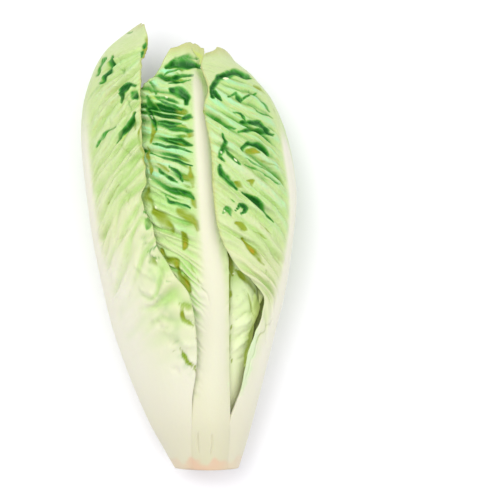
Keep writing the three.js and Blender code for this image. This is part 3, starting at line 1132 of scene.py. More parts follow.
@dataclass
class Leaf:
    """A leaf as a closed shell with a cream rib, crinkled blade and thin edges."""

    form: LeafForm
    finish: LeafFinish

    def build(self) -> bpy.types.Object:
        """Shape the leaf from a flat slab.

        Returns:
            The leaf's object, its place in its mesh.
        """
        form = self.form
        slab = bmesh.new()
        bmesh.ops.create_grid(slab, x_segments=form.columns, y_segments=form.rows, size=1.0)
        bmesh.ops.solidify(slab, geom=slab.faces[:], thickness=1.0)
        mesh = bpy.data.meshes.new(form.name + "_leaf")
        slab.to_mesh(mesh)
        slab.free()

        x, y, layer = points_of(mesh).T
        u = -x
        t = (y + 1) / 2
        s = np.clip(t * (1.25 - 0.25 * t), 0, 1)
        place = form.point(u, s)
        relief = Relief(form, u, s, place)
        self.lay_flat(mesh, relief.away, s)
        finish_mesh(mesh, self.shell(relief, place, layer > layer.mean()), relief.masks)

        leaf = place_in_scene(form.name + "_leaf", mesh)
        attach(leaf, "root")
        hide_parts(form.name)
        return leaf

    def shell(self, relief: Relief, place: Array, outer: Array) -> Array:
        """Give the leaf its thickness and relief.

        Args:
            relief: Relief of the leaf.
            place: Points of the even surface in millimetres.
            outer: Which points lie on the outer face.

        Returns:
            Rows of x, y, z in millimetres.
        """
        form, u, s, y = self.form, relief.u, relief.s, relief.y
        rib = form.rib_thickness(u, y)
        lift = relief.height + form.edge_wave(u, s)
        thin = (BLADE_THICKNESS - EDGE_THICKNESS) * relief.masks["edge"]
        base = BASE_THICKENING * (1 - smoothstep(BUTT_Y, BASE_THICK_TOP_Y, y))
        inside = lift - (BLADE_THICKNESS - thin) - base - RIB_INSIDE * rib
        height = np.where(outer, lift + RIB_OUTSIDE * rib, inside)
        points = place + form.outward(u, s) * height[:, None]
        if form.rests:
            points[:, 2] = np.maximum(points[:, 2], np.where(outer, 0.0, BLADE_THICKNESS))
        points[:, 1] = np.maximum(points[:, 1], BUTT_Y)
        return points

    def lay_flat(self, mesh: bpy.types.Mesh, away: Array, s: Array) -> None:
        """Give the mesh the map of the flattened leaf, in decimetres.

        Args:
            mesh: Mesh of the leaf.
            away: Distance of each point from the rib.
            s: Position of each point along the leaf.
        """
        up = s * (self.form.tip_y - self.form.base_y)
        corners = np.empty(len(mesh.loops), np.int32)
        mesh.loops.foreach_get("vertex_index", corners)
        spread = np.stack([away, up], axis=-1)[corners] / 100
        layer = mesh.uv_layers.new(name="leaf")
        layer.data.foreach_set("uv", spread.astype(np.float32).ravel())

    def dress(self, leaf: bpy.types.Object) -> None:
        """Give the leaf its finish."""
        leaf.data.materials.append(self.finish.build())


@dataclass
class StemButt:
    """The short cut stem, turned round the middle of the head."""

    profile: tuple[Knot, ...] = (
        (0, -110), (5.4, -110), (7, -109.9), (7.3, -109.5), (8, -104), (7.9, -97),
        (6.4, -90), (5.4, -82), (4.1, -72), (2.8, -62), (1.5, -53), (0, -48),
    )
    sides: int = 72
    widening: float = 1.12
    tinted_below: float = -101.0

    def build(self) -> bpy.types.Object:
        """Turn the stem.

        Returns:
            The stem's object.
        """
        turned = bmesh.new()
        outline = [turned.verts.new((radius, y, 0.0)) for radius, y in self.profile]
        edges = [turned.edges.new(pair) for pair in zip(outline, outline[1:])]
        bmesh.ops.spin(turned, geom=outline + edges, cent=(0, 0, 0), axis=(0, 1, 0),
                       angle=2 * math.pi, steps=self.sides, use_merge=True)
        bmesh.ops.remove_doubles(turned, verts=turned.verts[:], dist=0.001)
        bmesh.ops.recalc_face_normals(turned, faces=turned.faces[:])
        mesh = bpy.data.meshes.new("cut_stem")
        turned.to_mesh(mesh)
        turned.free()

        points = points_of(mesh)
        y = points[:, 1].copy()
        points[:, 0] = self.widening * points[:, 0] + ENVELOPE.centre_x(y)
        points[:, 2] += ENVELOPE.underside(y) + ENVELOPE.half_depth(y)
        finish_mesh(mesh, points, {"cut": 1 - smoothstep(-109.5, self.tinted_below, y)})

        stem = place_in_scene("cut_stem", mesh)
        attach(stem, "root")
        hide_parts("stem_butt")
        return stem

    def dress(self, stem: bpy.types.Object) -> None:
        """Give the stem its finish."""
        stem.data.materials.append(StemFinish().build())


@dataclass
class Studio:
    """Pale floor, soft light and the camera straight above the head."""

    mm_per_pixel: float = 0.494
    frame_pixels: int = 500
    sensor: float = 36.0
    floor_reach: float = 2.5
    room_colour: Colour = (0.97, 0.97, 1.0)
    room_strength: float = 0.7

    def build(self) -> None:
        """Set up the floor, the lights and the camera."""
        self.lay_floor()
        self.hang_light("key", (-0.26, 0.3, 1.2), 0.7, 7.6, (1.0, 0.99, 0.97))
        self.hang_light("fill", (0.55, -0.1, 1.0), 1.2, 4.0, (0.98, 0.98, 1.0))
        world = bpy.data.worlds.new("soft_room")
        world.use_nodes = True
        background = world.node_tree.nodes["Background"]
        background.inputs["Color"].default_value = (*self.room_colour, 1.0)
        background.inputs["Strength"].default_value = self.room_strength
        bpy.context.scene.world = world
        bpy.context.scene.view_settings.view_transform = "Standard"
        self.set_camera()

    def lay_floor(self) -> None:
        """Lay a plain pale floor under the head."""
        sheet = bmesh.new()
        bmesh.ops.create_grid(sheet, x_segments=1, y_segments=1, size=self.floor_reach)
        mesh = bpy.data.meshes.new("floor")
        sheet.to_mesh(mesh)
        sheet.free()
        floor = place_in_scene("floor", mesh)
        shader = Shader("floor")
        surface = shader.node("ShaderNodeBsdfPrincipled", {}, {
            "Base Color": paint(250, 250, 253), "Roughness": 0.8})
        shader.node("ShaderNodeOutputMaterial", {}, {"Surface": surface.outputs["BSDF"]})
        mesh.materials.append(shader.material)

    def hang_light(self, name: str, place: tuple[float, float, float], size: float,
                   power: float, colour: Colour) -> None:
        """Hang a square soft light that faces the head.

        Args:
            name: Name of the light.
            place: Where it hangs, in metres.
            size: Length of its side in metres.
            power: Its power in watts.
            colour: Its colour.
        """
        lamp = bpy.data.lights.new(name, "AREA")
        lamp.size = size
        lamp.energy = power
        lamp.color = colour
        light = bpy.data.objects.new(name, lamp)
        light.location = place
        light.rotation_euler = (-Vector(place)).to_track_quat("-Z", "Y").to_euler()
        bpy.context.scene.collection.objects.link(light)

    def set_camera(self) -> None:
        """Hold the camera straight above, as far out as the picture's frame needs."""
        lens = bpy.data.cameras.new("camera")
        distance = CAMERA_HEIGHT - OUTLINE_HEIGHT
        lens.lens = self.sensor * distance / (self.mm_per_pixel * self.frame_pixels)
        lens.sensor_width = self.sensor
        camera = bpy.data.objects.new("camera", lens)
        camera.location = Vector((*FRAME_CENTRE, CAMERA_HEIGHT)) * MM
        bpy.context.scene.collection.objects.link(camera)
        bpy.context.scene.camera = camera


# What all leaves start from; each one gives its own lines.
NO_LINE = EdgeFromAngle(level(0))
OUTER_LEAF = LeafForm(name="outer_leaf", slot="outer_leaf", tip_y=100, depth=level(0),
                      rib=NO_LINE, edge_before=NO_LINE, edge_after=NO_LINE, seed=0.0)


# Creases of the outer leaves as seen from above. The dark and olive ones and green ones with depth
# paint shade into their hollows, and the lime and blister ones paint highlights. Plain ones only
# shape the leaf, and broad green ones without depth are the leaf's own tone.
LEFT_CREASES = creases(
    (DARK, 1, 1.5, 1.4, (-37.6, 94.8), (-38.6, 88.5), (-43.6, 81.5)),
    (GREEN, 1, 1.6, 1.1, (-41.5, 94), (-44.4, 89), (-45.6, 84.6)),
    (DARK, 1, 1.3, 1.3, (-33.4, 71.2), (-32.6, 76.4), (-29.6, 80.4), (-26, 79.6)),
    (DARK, 1, 2.3, 1.4, (-28.6, 76.4), (-25.2, 74.6)),
    (GREEN, 0.6, 0.8, 0.6, (-31.6, 73.6), (-29, 70.6), (-28.8, 68.4)),
    (GREEN, 0.6, 1.3, 0.8, (-33.6, 86.6), (-31.8, 88.4)),
    (LIME_HIGHLIGHT, 0.7, 0.8, 0.5, (-50, 78.2), (-46.8, 84), (-44.6, 90.2)),
    (GREEN, 0.35, 0.9, 0.5, (-43, 80), (-47.6, 75.6), (-50.2, 70.6)),
    (OLIVE_SHADE, 0.25, 1, 0.5, (-47.8, 66), (-50, 60)),
    (OLIVE_SHADE, 0.3, 1, 0.6, (-35.8, 70.6), (-38.6, 64.6), (-39.4, 60.2)),
    (GREEN, 0.5, 0.7, 0.6, (-35.4, 94.6), (-32.8, 90.4)),
    (GREEN, 0.6, 0.9, 0.7, (-34, 88.6), (-31.5, 84.6)),
    (GREEN, 1, 0.9, 1.1, (-36, 60.2), (-40.6, 57.4), (-46.4, 49)),
    (DARK, 1, 1.4, 1.3, (-26.4, 66.4), (-29.6, 59.8), (-34, 55.8), (-36.2, 52.2)),
    (LIME_HIGHLIGHT, 1, 1.6, 1, (-27.6, 63.4), (-31, 57.4), (-33.6, 53.6)),
    (OLIVE_SHADE, 0.6, 0.6, 0.7, (-36.2, 52.4), (-31, 47.6), (-25.6, 44.6)),
    (OLIVE_SHADE, 0.55, 1.1, 0.9, (-34.2, 30.8), (-38, 25.6), (-40.8, 21.4)),
    (OLIVE_SHADE, 0.45, 0.7, 0.6, (-30.9, 28.3), (-29.6, 22)),
    (DARK, 1, 2.2, 1.2, (-21.8, 12.8), (-19.8, 12.4), (-20.6, 9.6)),
    (GREEN, 1, 1, 0.8, (-22.6, 17.8), (-19, 17)),
    (OLIVE_SHADE, 0.3, 0.7, 0.5, (-30.4, 9.6), (-36.1, 2.2)),
    (OLIVE_SHADE, 0.3, 0.7, 0.5, (-28.8, -0.3), (-34.1, -9.2)),
    (OLIVE_SHADE, 0.3, 0.7, 0.5, (-26.2, -14.4), (-29.9, -24.3)),
    (OLIVE_SHADE, 0.55, 2.4, 1.3, (-18.6, -5.2), (-16.6, -9.2)),
    (GREEN, 0.7, 0.9, 0.8, (-21, -2.6), (-15.6, 1)),
    (GREEN, 0.35, 1.3, 0.8, (-23.2, 4.4), (-18.4, 6.2)),
    (OLIVE_SHADE, 0.75, 1.5, 1.1, (-4.6, -28.2), (-0.4, -29.6), (1.6, -31.2)),
    (OLIVE_SHADE, 0.9, 1.3, 1, (-4.4, -30), (-2.4, -36), (2.2, -38.4)),
    (OLIVE_SHADE, 0.6, 0.8, 0.9, (2.4, -44.2), (5.4, -45), (5.2, -47.6)),
    (GREEN, 0.3, 1.8, 0.9, (-16, -36.4), (-13.4, -39)),
    (GREEN, 0.3, 1.7, 0.9, (-9.4, -46), (-5.6, -48.4)),
    (OLIVE_SHADE, 0.85, 1.1, 1, (-3.6, -50.4), (-1.4, -56.4), (4.2, -59.2)),
    (GREEN, 0.4, 0.8, 0.8, (-23.9, -2), (-22.1, 2.2), (-18.5, 1.5)),
    (GREEN, 0.5, 0.7, 0.8, (-20.7, -4.3), (-16.3, -1.7)),
    (GREEN, 0.5, 1.2, 1, (-19.3, -8), (-18.5, -5.1), (-14.4, -5.8)),
    (BLISTER_HIGHLIGHT, 1, 0.9, -0.7, (-16, -6.8), (-14.6, -7.4)),
    (PLAIN, 1, 1.6, -1.2, (-14.1, -10.7), (-10.5, -11.6)),
    (GREEN, 0.4, 0.6, 0.8, (-16, -16.7), (-12.3, -14.3), (-7.8, -13.8)),
    (PLAIN, 1, 1.2, -0.9, (-14.5, -19.4), (-8.7, -17.4)),
    (GREEN, 0.5, 0.9, 0.8, (-11.5, -16.7), (-8.8, -16.2)),
    (PLAIN, 1, 1.4, -1.1, (-4, -31.4), (1.8, -33.3)),
    (BLISTER_HIGHLIGHT, 1, 0.8, -0.6, (1, -35.7), (2.3, -36.5)),
    (PLAIN, 1, 1.7, -1.1, (-17.8, -36.5), (-15.1, -35.4)),
    (GREEN, 0.5, 1, 1, (-8.7, -48.6), (-6.5, -46.6), (-4.9, -47.1)),
    (PLAIN, 1, 1.8, -1.2, (-3.6, -47.9), (2.2, -49.3)),
    (OLIVE_SHADE, 0.5, 0.4, 0.6, (-9.4, -51.5), (-3.3, -50.8)),
    (GREEN, 0.28, 2, 0.8, (-8.7, -59.9), (-4.7, -61.5)),
    (OLIVE_SHADE, 0.6, 0.9, 0.9, (1.3, -59.2), (4.2, -62.1), (4.6, -67.9)),
    (PLAIN, 1, 1.5, -1, (-1.1, -55.3), (2.2, -57.9)),
    (OLIVE_SHADE, 1, 1.9, 0.8, (-21, 103), (-21.2, 97), (-22.8, 89.5)),
    (DARK, 1, 1, 0.5, (-21.4, 101.8), (-22.2, 98.4)),
    (DARK, 1, 0.9, 0.5, (-22.6, 96.6), (-23.6, 93.8)),
    (GREEN, 1, 0.5, 0.4, (-31.6, 105.2), (-28, 107)),
    (GREEN, 0.33, 7, 0, (-20, -2), (-16, -16), (-11, -30), (-7, -42), (-3, -54), (1, -64)),
    (GREEN, 0.3, 4, 0, (-24, 30), (-22, 10), (-19, -6)),
    (PLAIN, 1, 1.5, -0.9, (-26, -10), (-18.4, -15)),
    (PLAIN, 1, 1.5, -1, (-24, -20), (-15, -26)),
    (OLIVE_SHADE, 0.3, 1.3, 0.8, (-21, -29), (-13, -31.6)),
    (PLAIN, 1, 1.4, -0.9, (-14, -41.6), (-7.4, -42.6)),
    (LIME_HIGHLIGHT, 0.8, 1.6, 0.4, (-47.2, 83.4), (-44, 87.6), (-41.6, 93.2)),
    (OLIVE_SHADE, 0.8, 1, 0.8, (-27, 66.8), (-27.6, 62.4), (-26.2, 58.6)),
    (LIME_HIGHLIGHT, 0.6, 0.9, -0.6, (-30.8, 80.2), (-33.6, 75.4), (-33, 70.6)),
    (OLIVE_SHADE, 0.8, 0.8, 0.5, (-22.8, 62.6), (-24.4, 54), (-22.8, 46), (-21.2, 38.4)),
)
RIGHT_CREASES = creases(
    (DARK, 1, 1.9, 1.5, (10.8, 73.5), (11.1, 78.2), (15.1, 83.7), (22, 86.5), (27.1, 85),
     (33.3, 84.2)),
    (BLISTER_HIGHLIGHT, 1, 0.8, -0.6, (17.3, 83.1), (19.5, 82.7)),
    (DARK, 1, 0.9, 0.9, (11.1, 77.6), (13, 74.5), (15.9, 73.1)),
    (DARK, 1, 0.8, 0.9, (19.1, 73.9), (22.4, 75.8), (25.7, 72.8), (29.3, 75.2), (32.5, 75.9)),
    (OLIVE_SHADE, 0.7, 1, 0.7, (32.2, 79.8), (38.7, 76), (41.8, 70.6), (42.8, 65.9)),
    (GREEN, 1, 0.8, 0.8, (29.3, 77.5), (35.1, 73.1), (40.2, 67)),
    (GREEN, 1, 0.8, 0.8, (30, 70.8), (34, 67.2), (40.9, 64.2)),
    (DARK, 1, 0.7, 0.8, (21.7, 66.8), (25.7, 65.7), (28, 62.8)),
    (DARK, 1, 1.5, 1.3, (26, 62.3), (30.7, 61.4), (35.1, 61), (38.7, 57.2)),
    (DARK, 1, 1.2, 1.2, (24.3, 57), (30.7, 57.8), (37.3, 57), (41.2, 54.9)),
    (DARK, 1, 0.8, 0.8, (16.2, 61.4), (19.1, 59.9), (22.9, 58.5)),
    (DARK, 1, 1.6, 1.4, (26.5, 48.1), (29.6, 51), (34, 50.2), (40.2, 45.9)),
    (OLIVE_SHADE, 1, 1.6, 0.6, (29.3, 47.4), (33.6, 46.7)),
    (DARK, 1, 1.3, 1.2, (16.6, 56.6), (18, 52.1), (16.2, 48.5), (14.4, 44.5), (17.3, 42.3)),
    (DARK, 1, 1.5, 1.2, (16.9, 49.6), (20.6, 45.2), (24.2, 40.9)),
    (GREEN, 1, 0.6, 0.8, (27.1, 44.1), (31.8, 40.9), (37.3, 38.9), (41.8, 35.3)),
    (GREEN, 1, 0.6, 0.8, (27.8, 40.9), (33.3, 38.3), (38.7, 35.3), (44.1, 30.9)),
    (OLIVE_SHADE, 0.6, 0.5, 0.5, (31.5, 44.9), (38, 42.3), (44.7, 38.9)),
    (DARK, 1, 1.7, 1.4, (14.9, 40.5), (16.2, 36.5), (19.5, 32.2), (23.5, 28.9)),
    (OLIVE_SHADE, 1, 1.4, 0.7, (22.7, 31.8), (25.7, 30)),
    (DARK, 1, 1.6, 1.3, (27.1, 27.3), (31.8, 24.2), (36.9, 18.7), (40.9, 12.9)),
    (OLIVE_SHADE, 1, 0.8, 0.7, (28.7, 32.9), (31.1, 32.2), (31.6, 29.6)),
    (GREEN, 1, 1.3, 0.9, (16.6, 16.6), (19.1, 19.1), (20.7, 15.1)),
    (DARK, 1, 0.9, 1, (22.9, 18), (25.7, 21.5), (28.7, 18.6), (25.3, 16.4)),
    (OLIVE_SHADE, 1, 1.6, 1.1, (23.1, 11.9), (25.7, 10.6), (28.2, 8.2)),
    (OLIVE_SHADE, 1, 1.4, 1.1, (26.8, 4.2), (30.5, -0.9), (37.4, -8.7)),
    (OLIVE_SHADE, 0.6, 0.5, 0.5, (31.5, 8.6), (38, 4.1)),
    (OLIVE_SHADE, 0.6, 0.5, 0.5, (33.6, 12.8), (40.5, 7)),
    (GREEN, 1, 0.7, 0.7, (20.4, 24), (23.3, 22.2)),
    (BLISTER_HIGHLIGHT, 1, 0.9, -0.6, (14.2, 59.9), (15.5, 58.9)),
    (BLISTER_HIGHLIGHT, 1, 0.9, -0.6, (14.6, 47.2), (16.1, 46.2)),
    (BLISTER_HIGHLIGHT, 1, 0.9, -0.6, (22, 43.8), (23, 42.3)),
    (BLISTER_HIGHLIGHT, 1, 0.7, -0.6, (17.1, 17.9), (18.1, 17.3)),
    (OLIVE_SHADE, 0.4, 0.5, 0.5, (31.6, 7.1), (38.4, -0.6), (41.4, -5.6)),
    (MARGIN, 1, 3.4, 0, (33.7, -32.5), (31.6, -47), (27.7, -61.5), (26, -71.6)),
    (OLIVE_SHADE, 0.5, 0.4, 0.4, (40.6, -35), (35.5, -42.6), (33.4, -49.2), (29.7, -57.9), (27.6, -65.1),
     ),
    (OLIVE_SHADE, 0.4, 0.4, 0.5, (35.9, -7.4), (38.4, -12.9), (39.2, -18)),
    (OLIVE_SHADE, 0.45, 0.6, 0.3, (30.7, 85.2), (37, 79.7), (41.4, 71.7), (45, 63), (47.9, 55.7),
     (50.1, 49.9)),
)
FRONT_CREASES = creases(
    (PLAIN, 1, 0.8, 0.6, (4.6, -101), (4.6, -92)),
    (PLAIN, 1, 0.8, 0.6, (10.9, -102), (11.2, -92)),
    (DARK, 1, 1.3, 1.1, (-20.6, 71), (-18.6, 64), (-16.8, 58)),
    (OLIVE_SHADE, 1, 1, 0.8, (-18.8, 64), (-17.8, 57), (-19.2, 51)),
    (OLIVE_SHADE, 1, 0.8, 0.5, (-20.4, 50), (-20, 43), (-18.4, 36.5)),
    (OLIVE_SHADE, 0.9, 1.8, 0.9, (-4, -30), (2.5, -38)),
    (DARK, 1, 2.2, 1.6, (-11.3, 89.3), (-6.3, 91.4), (-1.2, 91.1), (6.2, 89)),
    (GREEN, 1, 1.6, 1, (-6.3, 93.6), (-1.2, 94.3), (3.9, 93.3)),
    (GREEN, 1, 0.8, 0.8, (-12.8, 85.3), (-8.4, 87.5), (-4.1, 89)),
    (DARK, 1, 1.1, 1.1, (-12.1, 83), (-6.3, 84.5), (-0.5, 86.1), (2.1, 85.8)),
    (DARK, 1, 1, 1, (-9.9, 80.7), (-4.8, 81.9), (1, 83)),
    (DARK, 1, 2.4, 1.5, (-9.2, 77.6), (-4.1, 76.9), (-1, 73.9), (-1.3, 70.6)),
    (GREEN, 1, 1.4, 1, (-19.2, 81.9), (-17.1, 79.5), (-16.6, 75.7)),
    (DARK, 1, 1.6, 1.2, (-20.6, 74.6), (-18.6, 69.5), (-14.2, 67)),
    (DARK, 1, 0.9, 1, (-15.7, 72.8), (-9.9, 70.6), (-3, 68.4)),
    (LIME_HIGHLIGHT, 1, 0.8, 0.2, (-20.2, 78.2), (-18.6, 74.6), (-15.7, 71.7)),
    (DARK, 1, 1.5, 1.2, (-3.4, 63.9), (0.3, 65), (2.1, 64.3)),
    (DARK, 1, 0.8, 0.9, (-15.7, 62.3), (-9.2, 61.4), (-3.4, 61.3)),
    (DARK, 1, 1.5, 1.3, (-9.2, 59), (-3.4, 58.6), (1.9, 57.2)),
    (OLIVE_SHADE, 1, 1.6, 0.6, (-0.5, 56.5), (1.9, 55)),
    (DARK, 1, 1.4, 1.2, (-9.9, 53.6), (-4.1, 52.3), (1.7, 50.1)),
    (DARK, 1, 0.8, 0.9, (-17.1, 51.4), (-9.9, 49.8), (-2.6, 48.3), (1.7, 46.7)),
    (DARK, 1, 0.8, 0.9, (-19.3, 46.7), (-12.8, 44.5), (-5.5, 42.3), (1, 39.8)),
    (OLIVE_SHADE, 1, 0.9, 0.7, (-15.7, 40.9), (-12.8, 39.8), (-9.9, 37.6)),
    (DARK, 1, 0.9, 1, (-15.7, 38.7), (-10.6, 35.1), (-5.2, 32.4)),
    (DARK, 1, 1, 1, (-9.9, 40.1), (-4.8, 36.9), (-3, 32.9)),
    (OLIVE_SHADE, 1, 1.2, 0.7, (-0.1, 39.1), (1.1, 34), (1.7, 29.6)),
    (DARK, 1, 1.5, 1.2, (-5.2, 28.5), (-0.8, 26.7), (2.1, 23.5)),
    (OLIVE_SHADE, 1, 1.4, 0.8, (1, 24.2), (3.3, 19.5)),
    (DARK, 1, 1, 1.1, (-11.5, 25.6), (-9.9, 22.5), (-4.8, 21.9), (0.6, 19.1)),
    (OLIVE_SHADE, 1, 2, 1.2, (-6.3, 18.7), (-1.2, 15.8), (3.2, 12.2), (4.3, 8.6)),
    (OLIVE_SHADE, 1, 2.4, 1.3, (-17.5, 18), (-12.8, 14), (-7.4, 8.4)),
    (OLIVE_SHADE, 1, 2, 0.9, (-20.1, 29.6), (-20.8, 25.3), (-17.9, 19.8)),
    (OLIVE_SHADE, 1, 1.3, 1, (-2.8, 7.9), (-1.2, 3.5), (-2.5, -0.8)),
    (LIME_HIGHLIGHT, 1, 1.5, 0.5, (2.1, 96.7), (5.3, 93.3), (6.2, 89.3)),
    (OLIVE_SHADE, 1, 1.9, 1.2, (-14.1, -1.3), (-10.2, -6), (-6.2, -7.1), (-4.7, -12.2)),
    (OLIVE_SHADE, 1, 2.2, 1.2, (-5.4, -12.2), (-2.9, -17.2), (0.7, -22)),
    (OLIVE_SHADE, 0.5, 0.5, 0.5, (-1.8, -4.9), (2.2, -12.2), (6.5, -19.4), (10.2, -26.7)),
    (BLISTER_HIGHLIGHT, 1, 0.9, -0.7, (-11.9, 74.6), (-10.6, 74)),
    (BLISTER_HIGHLIGHT, 1, 0.8, -0.6, (-18.7, 64.8), (-18, 63)),
    (BLISTER_HIGHLIGHT, 1, 0.8, -0.6, (-16.4, 20.8), (-15.7, 19.1)),
    (BLISTER_HIGHLIGHT, 1, 0.9, -0.6, (-20.1, 34.3), (-18.6, 32.9)),
)


def outer_leaves() -> list[LeafForm]:
    """List the four leaves that show most.

    Returns:
        The left, right and back leaf and the leaf in the middle of the front.
    """
    left = replace(
        OUTER_LEAF, name="outer_leaf_left", tip_y=110.5, tuck=Tuck.AFTER, seed=0.4,
        vein_rise_before=38, shoulder_before=3, fold=1.8, split=0.5, ragged=0.2, frill=1.9,
        crinkle=0.35, blister=0.24, cream_width=12, rib_end=0.94, rib_fade=0.34,
        green_from=0.36, green_to=0.8, zone=0.35, shade=0.35, creases=LEFT_CREASES,
        smooth_above=Curve(((-50, 93), (-35, 94), (-20, 99))),
        rib=by_angle((-110, 172), (-60, 165), (0, 161), (60, 160), (95, 160), (111, 165)),
        edge_before=by_x(
            (-110, 1.9), (-95, 1.7), (-74, 2), (-60, 4), (-45, 4.4), (-23, 1), (-14, -5.4),
            (-2, -13.4), (10, -16.8), (23, -21.8), (32, -19.8), (50, -21.2), (60, -21.8),
            (72, -22.3), (83, -21.5), (89, -21.4), (95, -19.8), (102, -19.4), (106, -20.6),
            (111, -21.8)),
        edge_after=by_angle((-110, 221), (-85, 225), (-60, 232), (40, 235), (111, 225)))
    right = replace(
        OUTER_LEAF, name="outer_leaf_right", tip_y=97.6, tuck=Tuck.BEFORE, seed=2.1,
        vein_rise_after=36, shoulder_after=5, crinkled_rows=40, fold=2.0, split=0.6,
        ragged=0.2, tip_roll=0.6, crinkle=0.4, rib_end=0.86, rib_fade=0.14,
        green_from=0.36, green_to=0.6, zone=0.9, shade=0.42, creases=RIGHT_CREASES,
        smooth_above=Curve((
            (7, 70), (10.6, 75), (13, 81), (18, 86), (24, 86), (32, 83.5), (43, 77))),
        rib=by_angle((-110, 8), (-60, 14), (0, 18), (60, 20), (90, 22), (99, 25)),
        edge_before=by_angle((-110, -38), (-85, -43), (-60, -50), (40, -54), (99, -42)),
        edge_after=by_x(
            (-110, 17.8), (-97, 19.2), (-86, 20.2), (-78, 23.2), (-70, 26), (-60, 27.9),
            (-50, 29.9), (-39, 34.2), (-32, 36.6), (-24, 37), (-15, 30.1), (-11, 25.2),
            (6, 15.8), (28, 12.3), (46, 11.2), (57, 9.4), (67, 7.9), (75, 9.7), (87, 6.9),
            (92, 7.6), (96, 10), (99, 13.4)))
    back = replace(
        OUTER_LEAF, name="outer_leaf_back", tip_y=96, rests=True, seed=4.4,
        crinkled_rows=24, fold=1.0, ruffle=0.6, columns=84, rows=220, shade=0.6, zone=0.7,
        rib=by_angle((-110, 269), (-60, 268), (40, 268), (75, 274), (96, 284)),
        edge_before=by_angle(
            (-110, 225), (-85, 224), (-60, 217), (-32, 212), (-8, 216), (18, 212), (38, 216),
            (56, 222), (65, 235), (73, 249), (85, 262), (96, 273)),
        edge_after=by_angle(
            (-110, 317), (-85, 316), (-60, 322), (-40, 326), (-14, 322), (10, 328), (34, 323),
            (55, 328), (76, 320), (96, 310)))
    front = replace(
        OUTER_LEAF, name="front_leaf", slot="front_leaf", tip_y=98.2, seed=1.2,
        vein_rise_before=8, vein_rise_after=18, shoulder_before=3, shoulder_after=2.5,
        rib_width=9, rib_height=3.6, crinkled_rows=42, fold=2.1, fold_before=0.35,
        split=0.9, wedge=0.5, ruffle=0.6, ragged=0.7, tip_roll=1.6, crinkle=0.45,
        cream_width=8, rib_end=0.97, green_from=0.4, green_to=0.62, shade=0.7,
        creases=FRONT_CREASES, smooth_above=Curve(((-14, 88), (-4, 91.5), (7, 89.5))),
        depth=Curve(((-110, 0), (-88, 0.4), (-72, 2.6), (-60, 4.4), (-40, 5.6), (101, 5.6))),
        rib=by_x((-110, 12), (-75, 12.4), (-23, 13.3), (11, 9.9), (48, 7), (86, 4), (101, 0)),
        edge_before=by_x(
            (-110, 18), (-97, 19.4), (-84, 20.2), (-60, 19.9), (-25, 19.8), (-12, 19.9),
            (-5, 19.7), (0, 19.4), (6, 24), (20, 34), (50, 38), (75, 22), (86, 7.5),
            (94, 7.4), (101, 5.5)),
        edge_after=by_x(
            (-110, 1.7), (-90, 1.5), (-77, 1.9), (-71, 2), (-62, -3), (-45, -5), (-30, -6),
            (-20, -9), (-3, -16), (10, -26), (30, -34), (60, -38), (73, -26), (84, -15.3),
            (91, -11.2), (96, -8), (99, -4.5)))
    return [left, right, back, front]


# Olive lines paint the shade along the rims of the opening; the lit band paints a glow of light
# shining through.
INNER_CREASES = creases(
    (OLIVE_SHADE, 1, 1.7, 0.5, (18.2, 2), (19.6, -4), (20.8, -9), (21.4, -14)),
    (OLIVE_SHADE, 0.9, 0.8, 0.4, (20.2, -14), (20, -24), (19.9, -34)),
    (OLIVE_SHADE, 0.7, 0.5, 0.4, (20.3, -36), (20.6, -46), (20.6, -58)),
    (OLIVE_SHADE, 0.9, 1.3, 0.4, (22.4, -10.6), (26.4, -14.2), (30.4, -17.6), (33, -21.6)),
    (OLIVE_SHADE, 0.6, 0.5, 0.5, (28.2, -20.8), (30.2, -25.6), (31.4, -31.6), (33, -36.6)),
    (OLIVE_SHADE, 0.8, 0.9, 0.4, (32.6, -36), (31.6, -40.6), (29.4, -48), (27.4, -57)),
    (LIT, 1, 2.6, 0, (32.6, -24), (33.2, -31), (31, -44), (27.6, -58)),
    (GREEN, 0.3, 0.9, 1.2, (22.1, -25.6), (24.8, -23), (28.4, -21)),
    (PLAIN, 1, 1.5, -1, (21.8, -29.6), (24.8, -26.7), (27.7, -24.6)),
    (GREEN, 0.35, 0.8, 1.1, (21.9, -36.2), (26.3, -34.1), (30.3, -32.2)),
    (PLAIN, 1, 1.6, -1, (22.1, -40.1), (26.1, -37.4), (29.7, -35.4)),
    (GREEN, 0.3, 0.8, 1.1, (21.4, -47.1), (25.5, -43.5), (30, -39.9)),
    (PLAIN, 1, 1.6, -1, (21.8, -51.3), (26.1, -47.1), (29.2, -45)),
    (GREEN, 0.35, 0.7, 0.9, (21.4, -56), (25.5, -54.6), (27.6, -53.5)),
    (BLISTER_HIGHLIGHT, 1, 0.8, -0.6, (21.6, -13.2), (22.8, -13.5)),
    (BLISTER_HIGHLIGHT, 1, 0.9, -0.7, (27.4, -19.6), (28.7, -20.1)),
    (BLISTER_HIGHLIGHT, 1, 0.7, -0.6, (21, -26.7), (21.9, -27)),
    (BLISTER_HIGHLIGHT, 1, 0.7, -0.6, (21.2, -33.3), (22.1, -33.6)),
    (BLISTER_HIGHLIGHT, 1, 0.8, -0.6, (21.2, -41.8), (22.2, -42.2)),
)
# Olive lines paint shade; the lit band paints a glow of light shining through.
BEHIND_CREASES = creases(
    (OLIVE_SHADE, 0.8, 1.8, 0.5, (29.7, -18), (33.4, -19.8), (36.1, -23)),
    (OLIVE_SHADE, 0.8, 1.4, 0.5, (31.6, -35.4), (33, -36.8), (32.6, -39)),
    (LIT, 1, 5, 0, (31.5, -19), (34, -26), (33, -34), (31, -44), (28.6, -56)),
)


